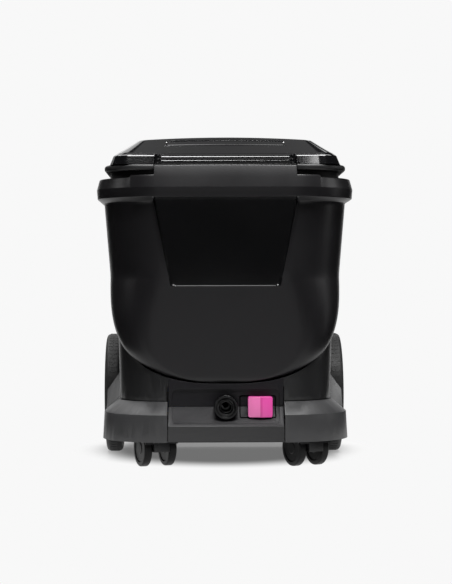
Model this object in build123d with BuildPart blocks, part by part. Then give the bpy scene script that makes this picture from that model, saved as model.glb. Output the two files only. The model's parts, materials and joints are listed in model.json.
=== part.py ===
from build123d import *
import math
import os

# A portable pressure washer: a tub tank with a lift-off lid, held in a cradle on a wheeled base.
# Millimetres, +Z up, the front faces -Y, and the origin is on the floor under the middle of the object.

# Base moulding
skirt_half_x = 169.0
skirt_half_y = 167.0
skirt_bottom_z = 36.5
skirt_draft = 2.0
base_corner = 93.0
crease_z = 73.0
shoulder_top_z = 89.5
shoulder_in_x = 19.5
shoulder_in_y = 23.0
base_wall = 3.0
ledge_width = 13.0
plate_gap = 0.4

# Rear wheels and axle
rear_wheel_radius = 87.5
rear_wheel_width = 27.0
tyre_depth = 15.0
tyre_round = 8.0
rim_inset = 1.5
rim_band_thickness = 4.0
rim_web = 6.0
hub_recess = 8.5
axle_inset = 53.5
axle_radius = 6.0
running_gap = 0.05
bay_gap = 6.0
wheel_side_gap = 2.0
bay_side_gap = 4.0
fender_thickness = 3.5
fender_top_z = 125.0
fender_edge_drop = 27.0
fender_run = 46.0
hub_radius = 17.0
bush_thickness = 3.0
spoke_count = 6
spoke_window_length = 34.0
spoke_window_width = 22.0
spoke_window_corner = 5.0

# Tank
tank_floor_z = 116.2
tank_belly_z = 260.0
tank_top_z = 391.4
tank_top_half_x = 169.3
tank_top_half_y = 150.9
tank_draft_x = 10.4
tank_draft_y = 7.9
tank_corner = 80.0
tank_foot_corner = 40.0
tank_wall = 4.0
keel_drop = 2.2
bowl_power_x = 2.7
bowl_power_y = 16.0
bowl_steps = 9
side_steps = 3
least_flat = 8.0

# Rim of the tank, as drops below the top and steps outside the wall
rim_foot_drop = 32.8
rim_edge_drop = 26.4
rim_crease_drop = 13.9
rim_bite = 3.8
rim_edge_out = 6.7
rim_crease_out = 7.7
rim_top_out = 4.1
mouth_flange_width = 17.3
mouth_flange_thickness = 8.0
lip_half_x = 95.0
lip_height = 16.6
lip_step_half_x = 128.0
lip_step_height = 3.0
lip_thickness = 5.0
badge_top_half_x = 95.0
badge_bottom_half_x = 71.0
badge_bottom_z = 246.0
badge_depth = 2.0
badge_tuck = 3.0
badge_shy = 0.3
badge_corner = 6.0

# Cradle
cradle_foot_inset = 2.5
cradle_lean_x = 3.0
cradle_corner = 70.0
cradle_top_z = 186.0
cradle_wall = 3.0
cradle_gap = 0.5
pad_half_x = 46.0
pad_half_y = 112.0
pad_corner = 20.0

# Front panel
panel_half_x = 77.3
panel_slot_gap = 1.2
panel_wall = 4.0
panel_proud = 4.0
panel_split_z = 83.0
panel_split_gap = 0.4
panel_crease_z = 58.0
panel_bottom_z = 38.0
panel_recess_half_x = 72.0
panel_recess_top_z = 106.0
panel_recess_bottom_z = 61.5
panel_recess_depth = 2.0
panel_recess_corner = 6.0
panel_tab_width = 9.0
panel_tab_length = 12.0

# Outlet coupler
coupler_bore_radius = 6.5
coupler_socket_radius = 9.3
coupler_body_radius = 12.5
coupler_ring_radius = 16.0
coupler_ring_proud = 17.5
coupler_body_length = 52.0
coupler_sunk = 2.0
coupler_socket_depth = 9.0
coupler_barb_length = 14.0
coupler_flange_width = 4.0
coupler_ring_round = 0.75
seal_wire_radius = 1.2
fit_gap = 0.2

# Slide switch
track_x = 42.65
track_width = 49.3
track_height = 30.0
track_corner = 3.0
track_depth = 1.0
slider_width = 33.0
slider_height = 27.6
slider_travel = 10.5
slider_end_gap = 5.0
slider_gap = 0.4
slider_ridge = 2.0
slider_ridge_share = 0.54
slider_front_proud = 16.0
stem_width = 8.0
stem_height = 6.0
shoe_width = 24.0
shoe_height = 14.0
shoe_thickness = 3.0
module_width = 34.0
module_height = 18.0
module_depth = 13.0

# Casters
caster_x = 102.0
caster_back = 74.0
caster_wheel_radius = 25.0
caster_wheel_width = 11.0
caster_pitch = 35.0
caster_trail = 15.5
caster_swing_left = 21.0
caster_swing_right = 27.0
caster_stem_radius = 5.5
caster_stem_length = 34.0
caster_axle_radius = 3.0
caster_web_gap = 1.0
caster_hood_gap = 1.6
caster_hood_thickness = 2.4
caster_neck_radius = 10.0
caster_web_low_z = 21.0
caster_hood_low_z = 32.0
caster_wheel_round = 3.5
well_gap = 1.5
well_wall = 3.0
well_headroom = 6.0
socket_wall = 2.5
boss_wall = 5.0

# Lid, with heights above the top of the tank rim
gasket_gap = 0.2
gasket_height = 3.4
gasket_width = 6.0
flange_in_x = 5.0
flange_in_y = 0.9
flange_corner = 46.0
flange_rise = 9.0
flange_thickness = 8.6
flange_round = 3.6
pan_floor = 3.0
plug_gap = 1.5
plug_wall = 3.0
plug_depth = 10.0
plug_web = 3.0
lip_gap = 1.5
cover_step_x = 11.5
cover_step_y = 2.0
cover_corner = 44.0
cover_band_height = 12.0
cover_band_in = 5.0
cover_slope_height = 25.6
cover_slope_in = 31.0
cover_top_corner = 20.0
cover_arch = 4.0
cover_crown = 1.4
cover_wall = 3.0
cover_notch_depth = 7.0
groove_half_x = 80.0
groove_width = 6.0
groove_drop = 5.2
groove_depth = 1.8
lid_boss_x = 100.0
lid_boss_y = 85.0

# Screws
screw_radius = 2.0
screw_head_radius = 4.0
screw_head_height = 2.4
screw_length = 14.0
screw_boss_radius = 5.0
boss_bite = 1.0
base_screw_rear_x = 60.0
base_screw_front_gap = 15.0
base_screw_side_back = -3.0
cradle_screw_x = 96.0
tank_boss_x = 34.0
tank_boss_y = 95.0
tank_boss_radius = 7.0
tank_boss_length = 12.0

# Pump set
pump_side_gap = 28.0
pump_well_gap = 9.0
pump_z = 82.0
motor_radius = 26.0
motor_length = 92.0
pump_head_width = 52.0
pump_head_height = 38.0
pump_head_length = 44.0
port_radius = 5.0
port_bore_radius = 3.5
port_length = 10.0
inlet_drop = 10.0
inlet_setback = 14.0
outlet_rise = 1.0
outlet_setback = 32.0
bracket_width = 60.0
bracket_thickness = 3.0
bracket_inset = 8.0
saddle_thickness = 6.0
saddle_drop = 8.5
foot_radius = 7.0
foot_height = 8.5
foot_inset = 9.0

# Battery, board and sockets
battery_side_gap = 15.0
battery_end_gap = 11.2
battery_width = 72.0
battery_height = 60.0
tray_wall = 3.0
tray_height = 28.0
tray_gap = 0.5
board_gap = 11.0
board_y = 38.0
board_width = 60.0
board_length = 66.0
board_thickness = 1.6
board_part_height = 9.0
can_radius = 4.0
can_pitch = 24.0
sink_length = 37.0
sink_width = 4.0
standoff_radius = 4.0
standoff_height = 10.0
standoff_inset = 6.0
charge_x = 0.0
charge_z = 55.0
charge_radius = 8.0
charge_bore_radius = 2.8
charge_bore_depth = 9.5
charge_flange_radius = 12.0
charge_flange_width = 2.0
charge_length = 20.0
charge_nut_width = 4.0

# Tank outlet and hoses
fitting_y = 24.0
fitting_radius = 10.0
fitting_flange_radius = 17.0
fitting_flange_height = 4.0
fitting_seal_height = 2.0
fitting_nut_radius = 16.0
fitting_nut_height = 8.0
nut_sides = 6
fitting_barb_length = 8.0
filter_radius = 14.0
filter_height = 34.0
filter_wall = 2.0
filter_slots = 10
filter_slot_width = 4.0
filter_end = 5.0
hose_wall = 2.5
suction_bend = 20.0
pressure_bend = 22.0

# Axle supports
bracket_x = 76.0
bracket_block_width = 12.0
bracket_block_length = 22.0
bracket_cap = 6.0
retainer_radius = 10.0
retainer_width = 1.5
retainer_gap = 0.5
cap_wall = 3.0
cap_clear = 1.5

# Places worked out from the sizes above
axle_back = skirt_half_y - axle_inset
overall_depth = skirt_half_y + axle_back + rear_wheel_radius
body_y = skirt_half_y - overall_depth / 2
front_y = body_y - skirt_half_y
axle_y = body_y + axle_back
axle_z = rear_wheel_radius
plate_top_z = skirt_bottom_z + base_wall
shoulder_half_x = skirt_half_x - skirt_draft - shoulder_in_x
shoulder_half_y = skirt_half_y - skirt_draft - shoulder_in_y
shoulder_corner = base_corner - skirt_draft - shoulder_in_x
bay_radius = rear_wheel_radius + bay_gap
cradle_foot_half_x = shoulder_half_x - cradle_foot_inset
cradle_foot_half_y = shoulder_half_y - cradle_foot_inset
cradle_top_half_x = cradle_foot_half_x + cradle_lean_x
wheel_inner_x = cradle_top_half_x + wheel_side_gap
wheel_outer_x = wheel_inner_x + rear_wheel_width
bay_x = wheel_inner_x - bay_side_gap
tank_keel_z = tank_floor_z - keel_drop
belly_half_x = tank_top_half_x - tank_draft_x
belly_half_y = tank_top_half_y - tank_draft_y
mouth_half_x = tank_top_half_x - mouth_flange_width
mouth_half_y = tank_top_half_y - mouth_flange_width
mouth_corner = tank_corner - mouth_flange_width
rim_edge_z = tank_top_z - rim_edge_drop
rim_slope = (rim_crease_out - rim_top_out) / rim_crease_drop
lip_back_y = body_y - tank_top_half_y - rim_top_out + rim_slope * lip_height + lip_thickness
deck_z = tank_keel_z - cradle_gap - cradle_wall
panel_slot_half_x = panel_half_x + panel_slot_gap
panel_wall_y = body_y - cradle_foot_half_y - panel_proud
caster_y = front_y + caster_back
hood_radius = caster_wheel_radius + caster_hood_gap + caster_hood_thickness
hood_half_x = (caster_pitch + caster_wheel_width) / 2
well_radius = math.hypot(caster_trail + hood_radius, hood_half_x) + well_gap
well_top_z = 2 * caster_wheel_radius + well_headroom
well_back_y = caster_y + well_radius + well_wall
bay_inner_x = bay_x - base_wall
pump_x = bay_inner_x - pump_side_gap - bracket_width / 2
motor_front_y = well_back_y + pump_well_gap
battery_x = battery_side_gap + battery_width / 2 - bay_inner_x
battery_front_y = well_back_y + battery_end_gap + tray_wall + tray_gap
battery_back_y = axle_y - axle_radius - battery_end_gap - tray_wall - tray_gap
battery_y = (battery_front_y + battery_back_y) / 2
battery_length = battery_back_y - battery_front_y
board_x = battery_x + battery_width / 2 + board_gap + board_width / 2
reach = 2 * overall_depth


# How far a rounded corner falls back from the line of its flat side, at a distance past the flat
def corner_fall(corner, past):
    return corner - math.sqrt(corner**2 - max(0.0, past) ** 2)


def plan(half_x, half_y, corner, z):
    with BuildSketch(Plane.XY.offset(z)) as outline:
        with Locations((0, body_y)):
            RectangleRounded(2 * half_x, 2 * half_y, corner)
    return outline.sketch


def stack(sections, ruled=True):
    with BuildPart() as form:
        loft(sections=sections, ruled=ruled)
    return form.part


def column(half_x, half_y, corner, low_z, high_z):
    with BuildPart() as form:
        extrude(plan(half_x, half_y, corner, low_z), amount=high_z - low_z)
    return form.part


def band(half_x, half_y, corner, width, low_z, high_z):
    outside = column(half_x, half_y, corner, low_z, high_z)
    inside = column(half_x - width, half_y - width, corner - width, low_z, high_z)
    with BuildPart() as form:
        add(outside)
        add(inside, mode=Mode.SUBTRACT)
    return form.part


def across(centre, radius, length):
    with BuildPart(Plane.YZ.offset(centre[0])) as form:
        with Locations((centre[1], centre[2], 0)):
            Cylinder(radius, length)
    return form.part


def lengthwise(x, z, radius, near_y, far_y):
    with BuildPart(Plane.XZ.offset(-near_y)) as rod:
        with Locations((x, z, 0)):
            Cylinder(radius, far_y - near_y, align=(Align.CENTER, Align.CENTER, Align.MAX))
    return rod.part


def tab_screw_hole(side, tab_y, low_z):
    z = low_z + panel_tab_length / 2
    return lengthwise(side * tab_screw_x, z, screw_radius, tab_y - base_wall / 2, tab_y + base_wall)


def screws(places, head_z, length):
    with BuildPart() as group:
        for x, y in places:
            with Locations((x, y, head_z)):
                Cylinder(screw_radius, length, align=(Align.CENTER, Align.CENTER, Align.MIN))
                Cylinder(screw_head_radius, screw_head_height, align=(Align.CENTER, Align.CENTER, Align.MAX))
    return group


# Plan of the tank at a height: straight drafted sides above the belly, a closing curve below it
def tank_section(z, grow):
    drop = max(0.0, (tank_belly_z - z) / (tank_belly_z - tank_keel_z))
    rise = max(0.0, (z - tank_belly_z) / (tank_top_z - tank_belly_z))
    curve_x = (1 - drop**bowl_power_x) ** (1 / bowl_power_x)
    curve_y = (1 - drop**bowl_power_y) ** (1 / bowl_power_y)
    half_x = (belly_half_x + tank_draft_x * rise) * curve_x + grow
    half_y = (belly_half_y + tank_draft_y * rise) * curve_y + grow
    corner = tank_corner + (tank_foot_corner - tank_corner) * drop + grow
    return plan(half_x, half_y, min(corner, half_x - least_flat), z)


def tank_form(grow, floor_z, top_z):
    turns = [math.radians(90 * step / bowl_steps) for step in range(bowl_steps)]
    heights = [tank_belly_z - (tank_belly_z - floor_z) * math.cos(turn) for turn in turns]
    for step in range(side_steps + 1):
        heights.append(tank_belly_z + (top_z - tank_belly_z) * step / side_steps)
    return stack([tank_section(z, grow) for z in heights], ruled=False)


# The front outline of the tank's belly, carried straight through from front to back
def belly_prism(gap):
    points = []
    for step in range(-bowl_steps, bowl_steps + 1):
        turn = math.radians(90 * step / bowl_steps)
        across_share = math.copysign(abs(math.sin(turn)) ** (2 / bowl_power_x), turn)
        down_share = abs(math.cos(turn)) ** (2 / bowl_power_x)
        x = (belly_half_x + gap) * across_share
        z = tank_belly_z - (tank_belly_z - tank_keel_z + gap) * down_share
        points.append((x, z))
    with BuildPart() as prism:
        with BuildSketch(Plane.XZ):
            with BuildLine():
                Spline(*points)
                Polyline(points[-1], (points[-1][0], tank_top_z), (points[0][0], tank_top_z), points[0])
            make_face()
        extrude(amount=reach, both=True)
    return prism.part


def rim_section(drop, out):
    return plan(tank_top_half_x + out, tank_top_half_y + out, tank_corner + out, tank_top_z - drop)


# A raised stretch of the rim's front edge, leaning as the rim's top facet does
def rim_lip(half_x, height):
    lean = rim_top_out - rim_slope * height
    outside = stack([rim_section(0, rim_top_out), rim_section(-height, lean)])
    inside = stack([rim_section(0, rim_top_out - lip_thickness), rim_section(-height, lean - lip_thickness)])
    with BuildPart() as lip:
        add(outside)
        add(inside, mode=Mode.SUBTRACT)
        with Locations((0, body_y, tank_top_z)):
            Box(2 * half_x, reach, reach, align=(Align.CENTER, Align.MAX, Align.CENTER), mode=Mode.INTERSECT)
    return lip.part


os.makedirs("parts", exist_ok=True)

# Tank with its rim, inturned mouth, raised front lip and a front panel that leans out to meet the rim
tank_outside = tank_form(0, tank_floor_z, tank_top_z)
tank_inside = tank_form(-tank_wall, tank_floor_z + tank_wall, tank_top_z - mouth_flange_thickness)
rim_band = stack(
    [
        rim_section(rim_foot_drop, -rim_bite),
        rim_section(rim_edge_drop, rim_edge_out),
        rim_section(rim_crease_drop, rim_crease_out),
        rim_section(0, rim_top_out),
    ]
)
mouth_cut = column(mouth_half_x, mouth_half_y, mouth_corner, tank_belly_z, tank_top_z + lip_height)
tall_lip = rim_lip(lip_half_x, lip_height)
low_lip = rim_lip(lip_step_half_x, lip_step_height)
badge_top_z = rim_edge_z + badge_tuck
badge_low_y = body_y - belly_half_y + badge_depth
badge_rim_y = body_y - tank_top_half_y - rim_edge_out + badge_shy
badge_lean = (badge_rim_y - badge_low_y) / (rim_edge_z - badge_bottom_z)
badge_top_y = badge_low_y + badge_lean * (badge_top_z - badge_bottom_z)
badge_edge = [(badge_low_y, badge_bottom_z), (badge_top_y, badge_top_z)]


# A slab with one face on the leaning front panel, reaching to a far plane on one side of it
def badge_slab(far_y):
    with BuildPart() as slab:
        with BuildSketch(Plane.YZ):
            with BuildLine():
                Polyline(*badge_edge, (far_y, badge_top_z), (far_y, badge_bottom_z), close=True)
            make_face()
        extrude(amount=badge_top_half_x, both=True)
    return slab.part


badge_back = badge_slab(body_y - belly_half_y + tank_wall)
badge_front = badge_slab(badge_top_y - tank_wall)
with BuildPart() as badge_prism:
    with BuildSketch(Plane.XZ.offset(-body_y)) as badge_outline:
        with BuildLine():
            Polyline(
                (-badge_top_half_x, badge_top_z),
                (-badge_bottom_half_x, badge_bottom_z),
                (badge_bottom_half_x, badge_bottom_z),
                (badge_top_half_x, badge_top_z),
                close=True,
            )
        make_face()
        fillet(badge_outline.vertices().group_by(Axis.Z)[0], badge_corner)
    extrude(amount=reach)
with BuildPart() as badge_pad:
    add(badge_prism.part)
    add(badge_back, mode=Mode.INTERSECT)
with BuildPart() as badge_cut:
    add(badge_prism.part)
    add(badge_front, mode=Mode.INTERSECT)
    add(rim_band, mode=Mode.SUBTRACT)
fitting_place = (0, fitting_y)
tank_boss_places = [(x, body_y + y) for x in (-tank_boss_x, tank_boss_x) for y in (-tank_boss_y, tank_boss_y)]
with BuildPart() as tank:
    add(tank_outside)
    add(rim_band)
    add(badge_pad.part)
    add(tank_inside, mode=Mode.SUBTRACT)
    add(mouth_cut, mode=Mode.SUBTRACT)
    add(tall_lip)
    add(low_lip)
    add(badge_cut.part, mode=Mode.SUBTRACT)
    with BuildSketch(Plane.XY.offset(tank_floor_z)):
        with Locations(*tank_boss_places):
            Circle(tank_boss_radius)
    extrude(amount=-tank_boss_length)
    with BuildSketch(Plane.XY.offset(tank_floor_z - tank_boss_length)):
        with Locations(*tank_boss_places):
            Circle(screw_radius)
    extrude(amount=tank_boss_length, mode=Mode.SUBTRACT)
    with BuildSketch(Plane.XY.offset(tank_floor_z)):
        with Locations(fitting_place):
            Circle(fitting_radius)
    extrude(amount=tank_wall, mode=Mode.SUBTRACT)
tank.part.label = "tank"
export_step(tank.part, "parts/tank.step")

# Lid: matte pan with finger flange, plug ring that enters the mouth, foam gasket, gloss cover
flange_half_x = tank_top_half_x - flange_in_x
flange_half_y = tank_top_half_y - flange_in_y
cover_foot_half_x = flange_half_x - cover_step_x
cover_foot_half_y = flange_half_y - cover_step_y
gasket_low_z = tank_top_z + gasket_gap
gasket_high_z = gasket_low_z + gasket_height
flange_low_z = tank_top_z + flange_rise
flange_high_z = flange_low_z + flange_thickness
notch_half_x = lip_half_x + lip_gap
seat_half_x = mouth_half_x + gasket_width
seat_half_y = mouth_half_y + gasket_width
seat_corner = mouth_corner + gasket_width
plug_half_x = mouth_half_x - plug_gap
plug_half_y = mouth_half_y - plug_gap
plug_corner = mouth_corner - plug_gap
cover_notch_y = body_y - cover_foot_half_y + cover_notch_depth
cover_inner_half_y = cover_foot_half_y - cover_notch_depth
lid_boss_places = [(x, body_y + y) for x in (-lid_boss_x, lid_boss_x) for y in (-lid_boss_y, lid_boss_y)]
plug_skirt = band(plug_half_x, plug_half_y, plug_corner, plug_wall, tank_top_z - plug_depth, flange_low_z)
plug_rib = band(seat_half_x, seat_half_y, seat_corner, gasket_width, gasket_high_z, flange_low_z)
plug_width = gasket_width + plug_gap + plug_wall
plug_top = band(seat_half_x, seat_half_y, seat_corner, plug_width, flange_low_z - plug_web, flange_low_z)
pan_pocket = column(
    cover_foot_half_x - 2 * cover_wall,
    cover_inner_half_y - 2 * cover_wall,
    cover_corner - 2 * cover_wall,
    flange_low_z + pan_floor,
    flange_high_z,
)
with BuildPart() as lid_pan:
    extrude(plan(flange_half_x, flange_half_y, flange_corner, flange_low_z), amount=flange_thickness)
    fillet(lid_pan.faces().filter_by(Axis.Z).edges(), flange_round)
    with Locations((0, lip_back_y + lip_gap, flange_low_z)):
        Box(2 * notch_half_x, reach, reach, align=(Align.CENTER, Align.MAX, Align.CENTER), mode=Mode.SUBTRACT)
    add(pan_pocket, mode=Mode.SUBTRACT)
    with BuildSketch(Plane.XY.offset(flange_low_z)):
        with Locations(*lid_boss_places):
            Circle(screw_radius)
    extrude(amount=pan_floor, mode=Mode.SUBTRACT)
lid_pan.part.label = "lid_pan"
export_step(lid_pan.part, "parts/lid_pan.step")

with BuildPart() as lid_plug:
    add(plug_top)
    add(plug_skirt)
    add(plug_rib)
lid_plug.part.label = "lid_plug"
export_step(lid_plug.part, "parts/lid_plug.step")

with BuildPart() as lid_gasket:
    add(band(seat_half_x, seat_half_y, seat_corner, gasket_width, gasket_low_z, gasket_high_z))
lid_gasket.part.label = "lid_gasket"
export_step(lid_gasket.part, "parts/lid_gasket.step")


cover_band_z = flange_high_z + cover_band_height
cover_slope_z = cover_band_z + cover_slope_height
cover_top_z = cover_slope_z + cover_crown
arch_half_x = cover_foot_half_x - cover_band_in - cover_slope_in
arch_radius = (arch_half_x**2 + cover_arch**2) / (2 * cover_arch)


# Lid cover: a near-upright band and four slopes, under a top that arches from side to side
def cover_form(inset, drop):
    slope_in = cover_band_in + cover_slope_in + inset
    crown_in = slope_in + cover_slope_in * cover_crown / cover_slope_height
    foot_x = cover_foot_half_x
    foot_y = cover_foot_half_y
    band_in = cover_band_in + inset
    band_corner = cover_corner - band_in
    slopes = stack(
        [
            plan(foot_x - inset, foot_y - inset, cover_corner - inset, flange_high_z),
            plan(foot_x - band_in, foot_y - band_in, band_corner, cover_band_z),
            plan(foot_x - crown_in, foot_y - crown_in, cover_top_corner, cover_top_z),
        ]
    )
    roof = lengthwise(0, cover_top_z - drop - arch_radius, arch_radius, body_y - reach, body_y + reach)
    with BuildPart() as form:
        add(slopes)
        add(roof, mode=Mode.INTERSECT)
    return form.part


def front_block(half_x, back_y):
    with BuildPart() as block:
        with Locations((0, back_y, flange_high_z)):
            Box(2 * half_x, reach, reach, align=(Align.CENTER, Align.MAX, Align.CENTER))
    return block.part


groove_z = cover_slope_z - groove_drop
groove_in = cover_band_in + cover_slope_in * (1 - groove_drop / cover_slope_height)
groove_back_y = body_y - cover_foot_half_y + groove_in + groove_depth
cover_outside = cover_form(0, 0)
cover_hollow = cover_form(cover_wall, cover_wall)
hollow_keep = front_block(notch_half_x + cover_wall, cover_notch_y + cover_wall)
cover_notch = front_block(notch_half_x, cover_notch_y)
with BuildPart() as cover_inside:
    add(cover_hollow)
    add(hollow_keep, mode=Mode.SUBTRACT)
boss_low_z = flange_low_z + pan_floor
boss_high_z = cover_top_z - lid_boss_x**2 / (2 * arch_radius) - cover_wall / 2
with BuildPart() as lid_cover:
    add(cover_outside)
    add(cover_notch, mode=Mode.SUBTRACT)
    add(cover_inside.part, mode=Mode.SUBTRACT)
    with BuildSketch(Plane.XZ.offset(-groove_back_y)):
        with Locations((0, groove_z)):
            SlotOverall(2 * groove_half_x, groove_width)
    extrude(amount=reach, mode=Mode.SUBTRACT)
    with BuildSketch(Plane.XY.offset(boss_low_z)):
        with Locations(*lid_boss_places):
            Circle(screw_boss_radius)
            Circle(screw_radius, mode=Mode.SUBTRACT)
    extrude(amount=boss_high_z - boss_low_z)
lid_cover.part.label = "lid_cover"
export_step(lid_cover.part, "parts/lid_cover.step")

lid_screws = screws(lid_boss_places, flange_low_z, screw_length)
lid_screws.part.label = "lid_screws"
export_step(lid_screws.part, "parts/lid_screws.step")


# Places of the screw tabs that hold the front panel
tab_screw_x = panel_slot_half_x + panel_tab_width / 2
tab_outer_x = panel_slot_half_x + panel_tab_width
cradle_flat_x = cradle_foot_half_x - cradle_corner
skirt_flat_x = skirt_half_x - base_corner
cradle_fall = corner_fall(cradle_corner - cradle_wall, tab_outer_x - cradle_flat_x)
skirt_fall = corner_fall(base_corner - base_wall, tab_outer_x - skirt_flat_x)
upper_tab_y = body_y - cradle_foot_half_y + cradle_wall + cradle_fall
upper_tab_z = shoulder_top_z + panel_slot_gap
lower_tab_z = plate_top_z + panel_slot_gap
skirt_lean = skirt_draft / (crease_z - skirt_bottom_z)
skirt_in = skirt_lean * (lower_tab_z + panel_tab_length - skirt_bottom_z)
lower_tab_y = front_y + base_wall + skirt_in + skirt_fall
upper_holes = [tab_screw_hole(side, upper_tab_y, upper_tab_z) for side in (-1, 1)]
lower_holes = [tab_screw_hole(side, lower_tab_y, lower_tab_z) for side in (-1, 1)]


# Base shell: skirt, shoulder, wheel bays and ramped mudguards
def base_form(inset, low_z, drop):
    crease_in = skirt_draft + inset
    top_half_x = shoulder_half_x - inset
    top_half_y = shoulder_half_y - inset
    return stack(
        [
            plan(skirt_half_x - inset, skirt_half_y - inset, base_corner - inset, low_z),
            plan(skirt_half_x - crease_in, skirt_half_y - crease_in, base_corner - crease_in, crease_z),
            plan(top_half_x, top_half_y, shoulder_corner - inset, shoulder_top_z - drop),
        ]
    )


def wheel_bays(grow):
    with BuildPart() as bays:
        for side in (-1, 1):
            with BuildSketch(Plane.YZ.offset(side * (bay_x - grow))):
                with Locations((axle_y, axle_z)):
                    Circle(bay_radius + grow)
            extrude(amount=side * skirt_half_x)
    return bays.part


def mudguards():
    guard_x = cradle_top_half_x + cradle_gap
    edge_x = skirt_half_x - skirt_draft
    guard_reach = math.sqrt((bay_radius + fender_thickness) ** 2 - (fender_top_z - axle_z) ** 2)
    guard_top_y = axle_y - guard_reach
    with BuildPart() as guards:
        for side in (-1, 1):
            with BuildSketch(Plane.YZ.offset(side * guard_x)):
                with BuildLine():
                    Polyline(
                        (guard_top_y - fender_run, crease_z),
                        (guard_top_y, fender_top_z),
                        (axle_y, fender_top_z),
                        (axle_y, crease_z),
                        close=True,
                    )
                make_face()
                with Locations((axle_y, axle_z)):
                    Circle(bay_radius, mode=Mode.SUBTRACT)
            extrude(amount=side * (edge_x - guard_x))
        for side in (-1, 1):
            with BuildSketch(Plane.XZ.offset(-axle_y)):
                with BuildLine():
                    Polyline(
                        (side * guard_x, fender_top_z),
                        (side * edge_x, fender_top_z - fender_edge_drop),
                        (side * edge_x, fender_top_z),
                        close=True,
                    )
                make_face()
            extrude(amount=reach, mode=Mode.SUBTRACT)
    return guards.part


base_screw_front_x = panel_slot_half_x + base_screw_front_gap
boss_inset = base_wall + screw_boss_radius - boss_bite
base_screw_rear_y = body_y + skirt_half_y - boss_inset
base_screw_side_x = skirt_half_x - boss_inset
base_screw_fall = corner_fall(base_corner - boss_inset, base_screw_front_x - skirt_flat_x)
base_screw_front_y = front_y + boss_inset + base_screw_fall
base_screw_places = []
for side in (-1, 1):
    base_screw_places.append((side * base_screw_rear_x, base_screw_rear_y))
    base_screw_places.append((side * base_screw_front_x, base_screw_front_y))
    base_screw_places.append((side * base_screw_side_x, body_y + base_screw_side_back))
cradle_boss_inset = cradle_wall + screw_boss_radius - boss_bite
cradle_screw_fall = corner_fall(cradle_corner - cradle_boss_inset, cradle_screw_x - cradle_flat_x)
cradle_screw_y = cradle_foot_half_y - cradle_boss_inset - cradle_screw_fall
cradle_screw_places = [
    (x, body_y + y)
    for x in (-cradle_screw_x, cradle_screw_x)
    for y in (-cradle_screw_y, cradle_screw_y)
]
base_outside = base_form(0, skirt_bottom_z, 0)
base_hollow = base_form(base_wall, skirt_bottom_z, base_wall)
bays_outside = wheel_bays(0)
bays_inside = wheel_bays(base_wall)
guards = mudguards()
axle_hole = across((0, axle_y, axle_z), axle_radius + fit_gap, reach)
ledge_hole = column(
    cradle_foot_half_x - ledge_width,
    cradle_foot_half_y - ledge_width,
    cradle_corner - ledge_width,
    skirt_bottom_z,
    shoulder_top_z,
)
with BuildPart() as base_inside:
    add(base_hollow)
    add(bays_inside, mode=Mode.SUBTRACT)
panel_slot_back_y = body_y - cradle_foot_half_y + 2 * ledge_width
with BuildPart() as panel_slot:
    with Locations((0, panel_slot_back_y, 0)):
        Box(2 * panel_slot_half_x, reach, reach, align=(Align.CENTER, Align.MAX, Align.CENTER))
with BuildPart() as wall_slot:
    with Locations((0, upper_tab_y, 0)):
        Box(2 * panel_slot_half_x, reach, 2 * deck_z, align=(Align.CENTER, Align.MAX, Align.CENTER))
with BuildPart() as base_shell:
    add(base_outside)
    add(guards)
    add(bays_outside, mode=Mode.SUBTRACT)
    add(base_inside.part, mode=Mode.SUBTRACT)
    add(ledge_hole, mode=Mode.SUBTRACT)
    with BuildSketch(Plane.XY.offset(plate_top_z)):
        with Locations(*base_screw_places):
            Circle(screw_boss_radius)
    extrude(amount=screw_length)
    with BuildSketch(Plane.XY.offset(plate_top_z)):
        with Locations(*base_screw_places):
            Circle(screw_radius)
    extrude(amount=screw_length - base_wall, mode=Mode.SUBTRACT)
    with BuildSketch(Plane.XY.offset(shoulder_top_z)):
        with Locations(*cradle_screw_places):
            Circle(screw_radius)
    extrude(amount=-base_wall, mode=Mode.SUBTRACT)
    add(panel_slot.part, mode=Mode.SUBTRACT)
    add(axle_hole, mode=Mode.SUBTRACT)
    with BuildSketch(Plane.XZ.offset(-body_y)):
        with Locations((charge_x, charge_z)):
            Circle(charge_radius)
    extrude(amount=-reach, mode=Mode.SUBTRACT)
    add(lower_holes, mode=Mode.SUBTRACT)
base_shell.part.label = "base_shell"
export_step(base_shell.part, "parts/base_shell.step")

# Base plate with a well and a boss for each caster
caster_places = [(-caster_x, caster_y), (caster_x, caster_y)]
socket_radius = caster_stem_radius + running_gap + socket_wall
boss_top_z = well_top_z + caster_stem_length
plate_form = base_form(base_wall + plate_gap, skirt_bottom_z, base_wall + plate_gap)
plate_bays = wheel_bays(base_wall + plate_gap)
with BuildPart() as plate_notch:
    with Locations((0, front_y + panel_wall + plate_gap, 0)):
        Box(2 * panel_slot_half_x, reach, reach, align=(Align.CENTER, Align.MAX, Align.CENTER))
with BuildPart() as base_plate:
    add(plate_form)
    add(plate_bays, mode=Mode.SUBTRACT)
    with Locations((0, 0, skirt_bottom_z)):
        Box(reach, reach, base_wall, align=(Align.CENTER, Align.CENTER, Align.MIN), mode=Mode.INTERSECT)
    add(plate_notch.part, mode=Mode.SUBTRACT)
    with BuildSketch(Plane.XY.offset(skirt_bottom_z)):
        with Locations(*caster_places):
            Circle(well_radius + well_wall)
    extrude(amount=well_top_z + well_wall - skirt_bottom_z)
    with BuildSketch(Plane.XY.offset(skirt_bottom_z)):
        with Locations(*caster_places):
            Circle(well_radius)
    extrude(amount=well_top_z - skirt_bottom_z, mode=Mode.SUBTRACT)
    with BuildSketch(Plane.XY.offset(well_top_z)):
        with Locations(*caster_places):
            Circle(socket_radius + boss_wall)
    extrude(amount=boss_top_z - well_top_z)
    with BuildSketch(Plane.XY.offset(well_top_z)):
        with Locations(*caster_places):
            Circle(socket_radius)
    extrude(amount=boss_top_z - well_top_z - socket_wall, mode=Mode.SUBTRACT)
    with BuildSketch(Plane.XY.offset(skirt_bottom_z)):
        with Locations(*base_screw_places):
            Circle(screw_radius)
    extrude(amount=base_wall, mode=Mode.SUBTRACT)
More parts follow.
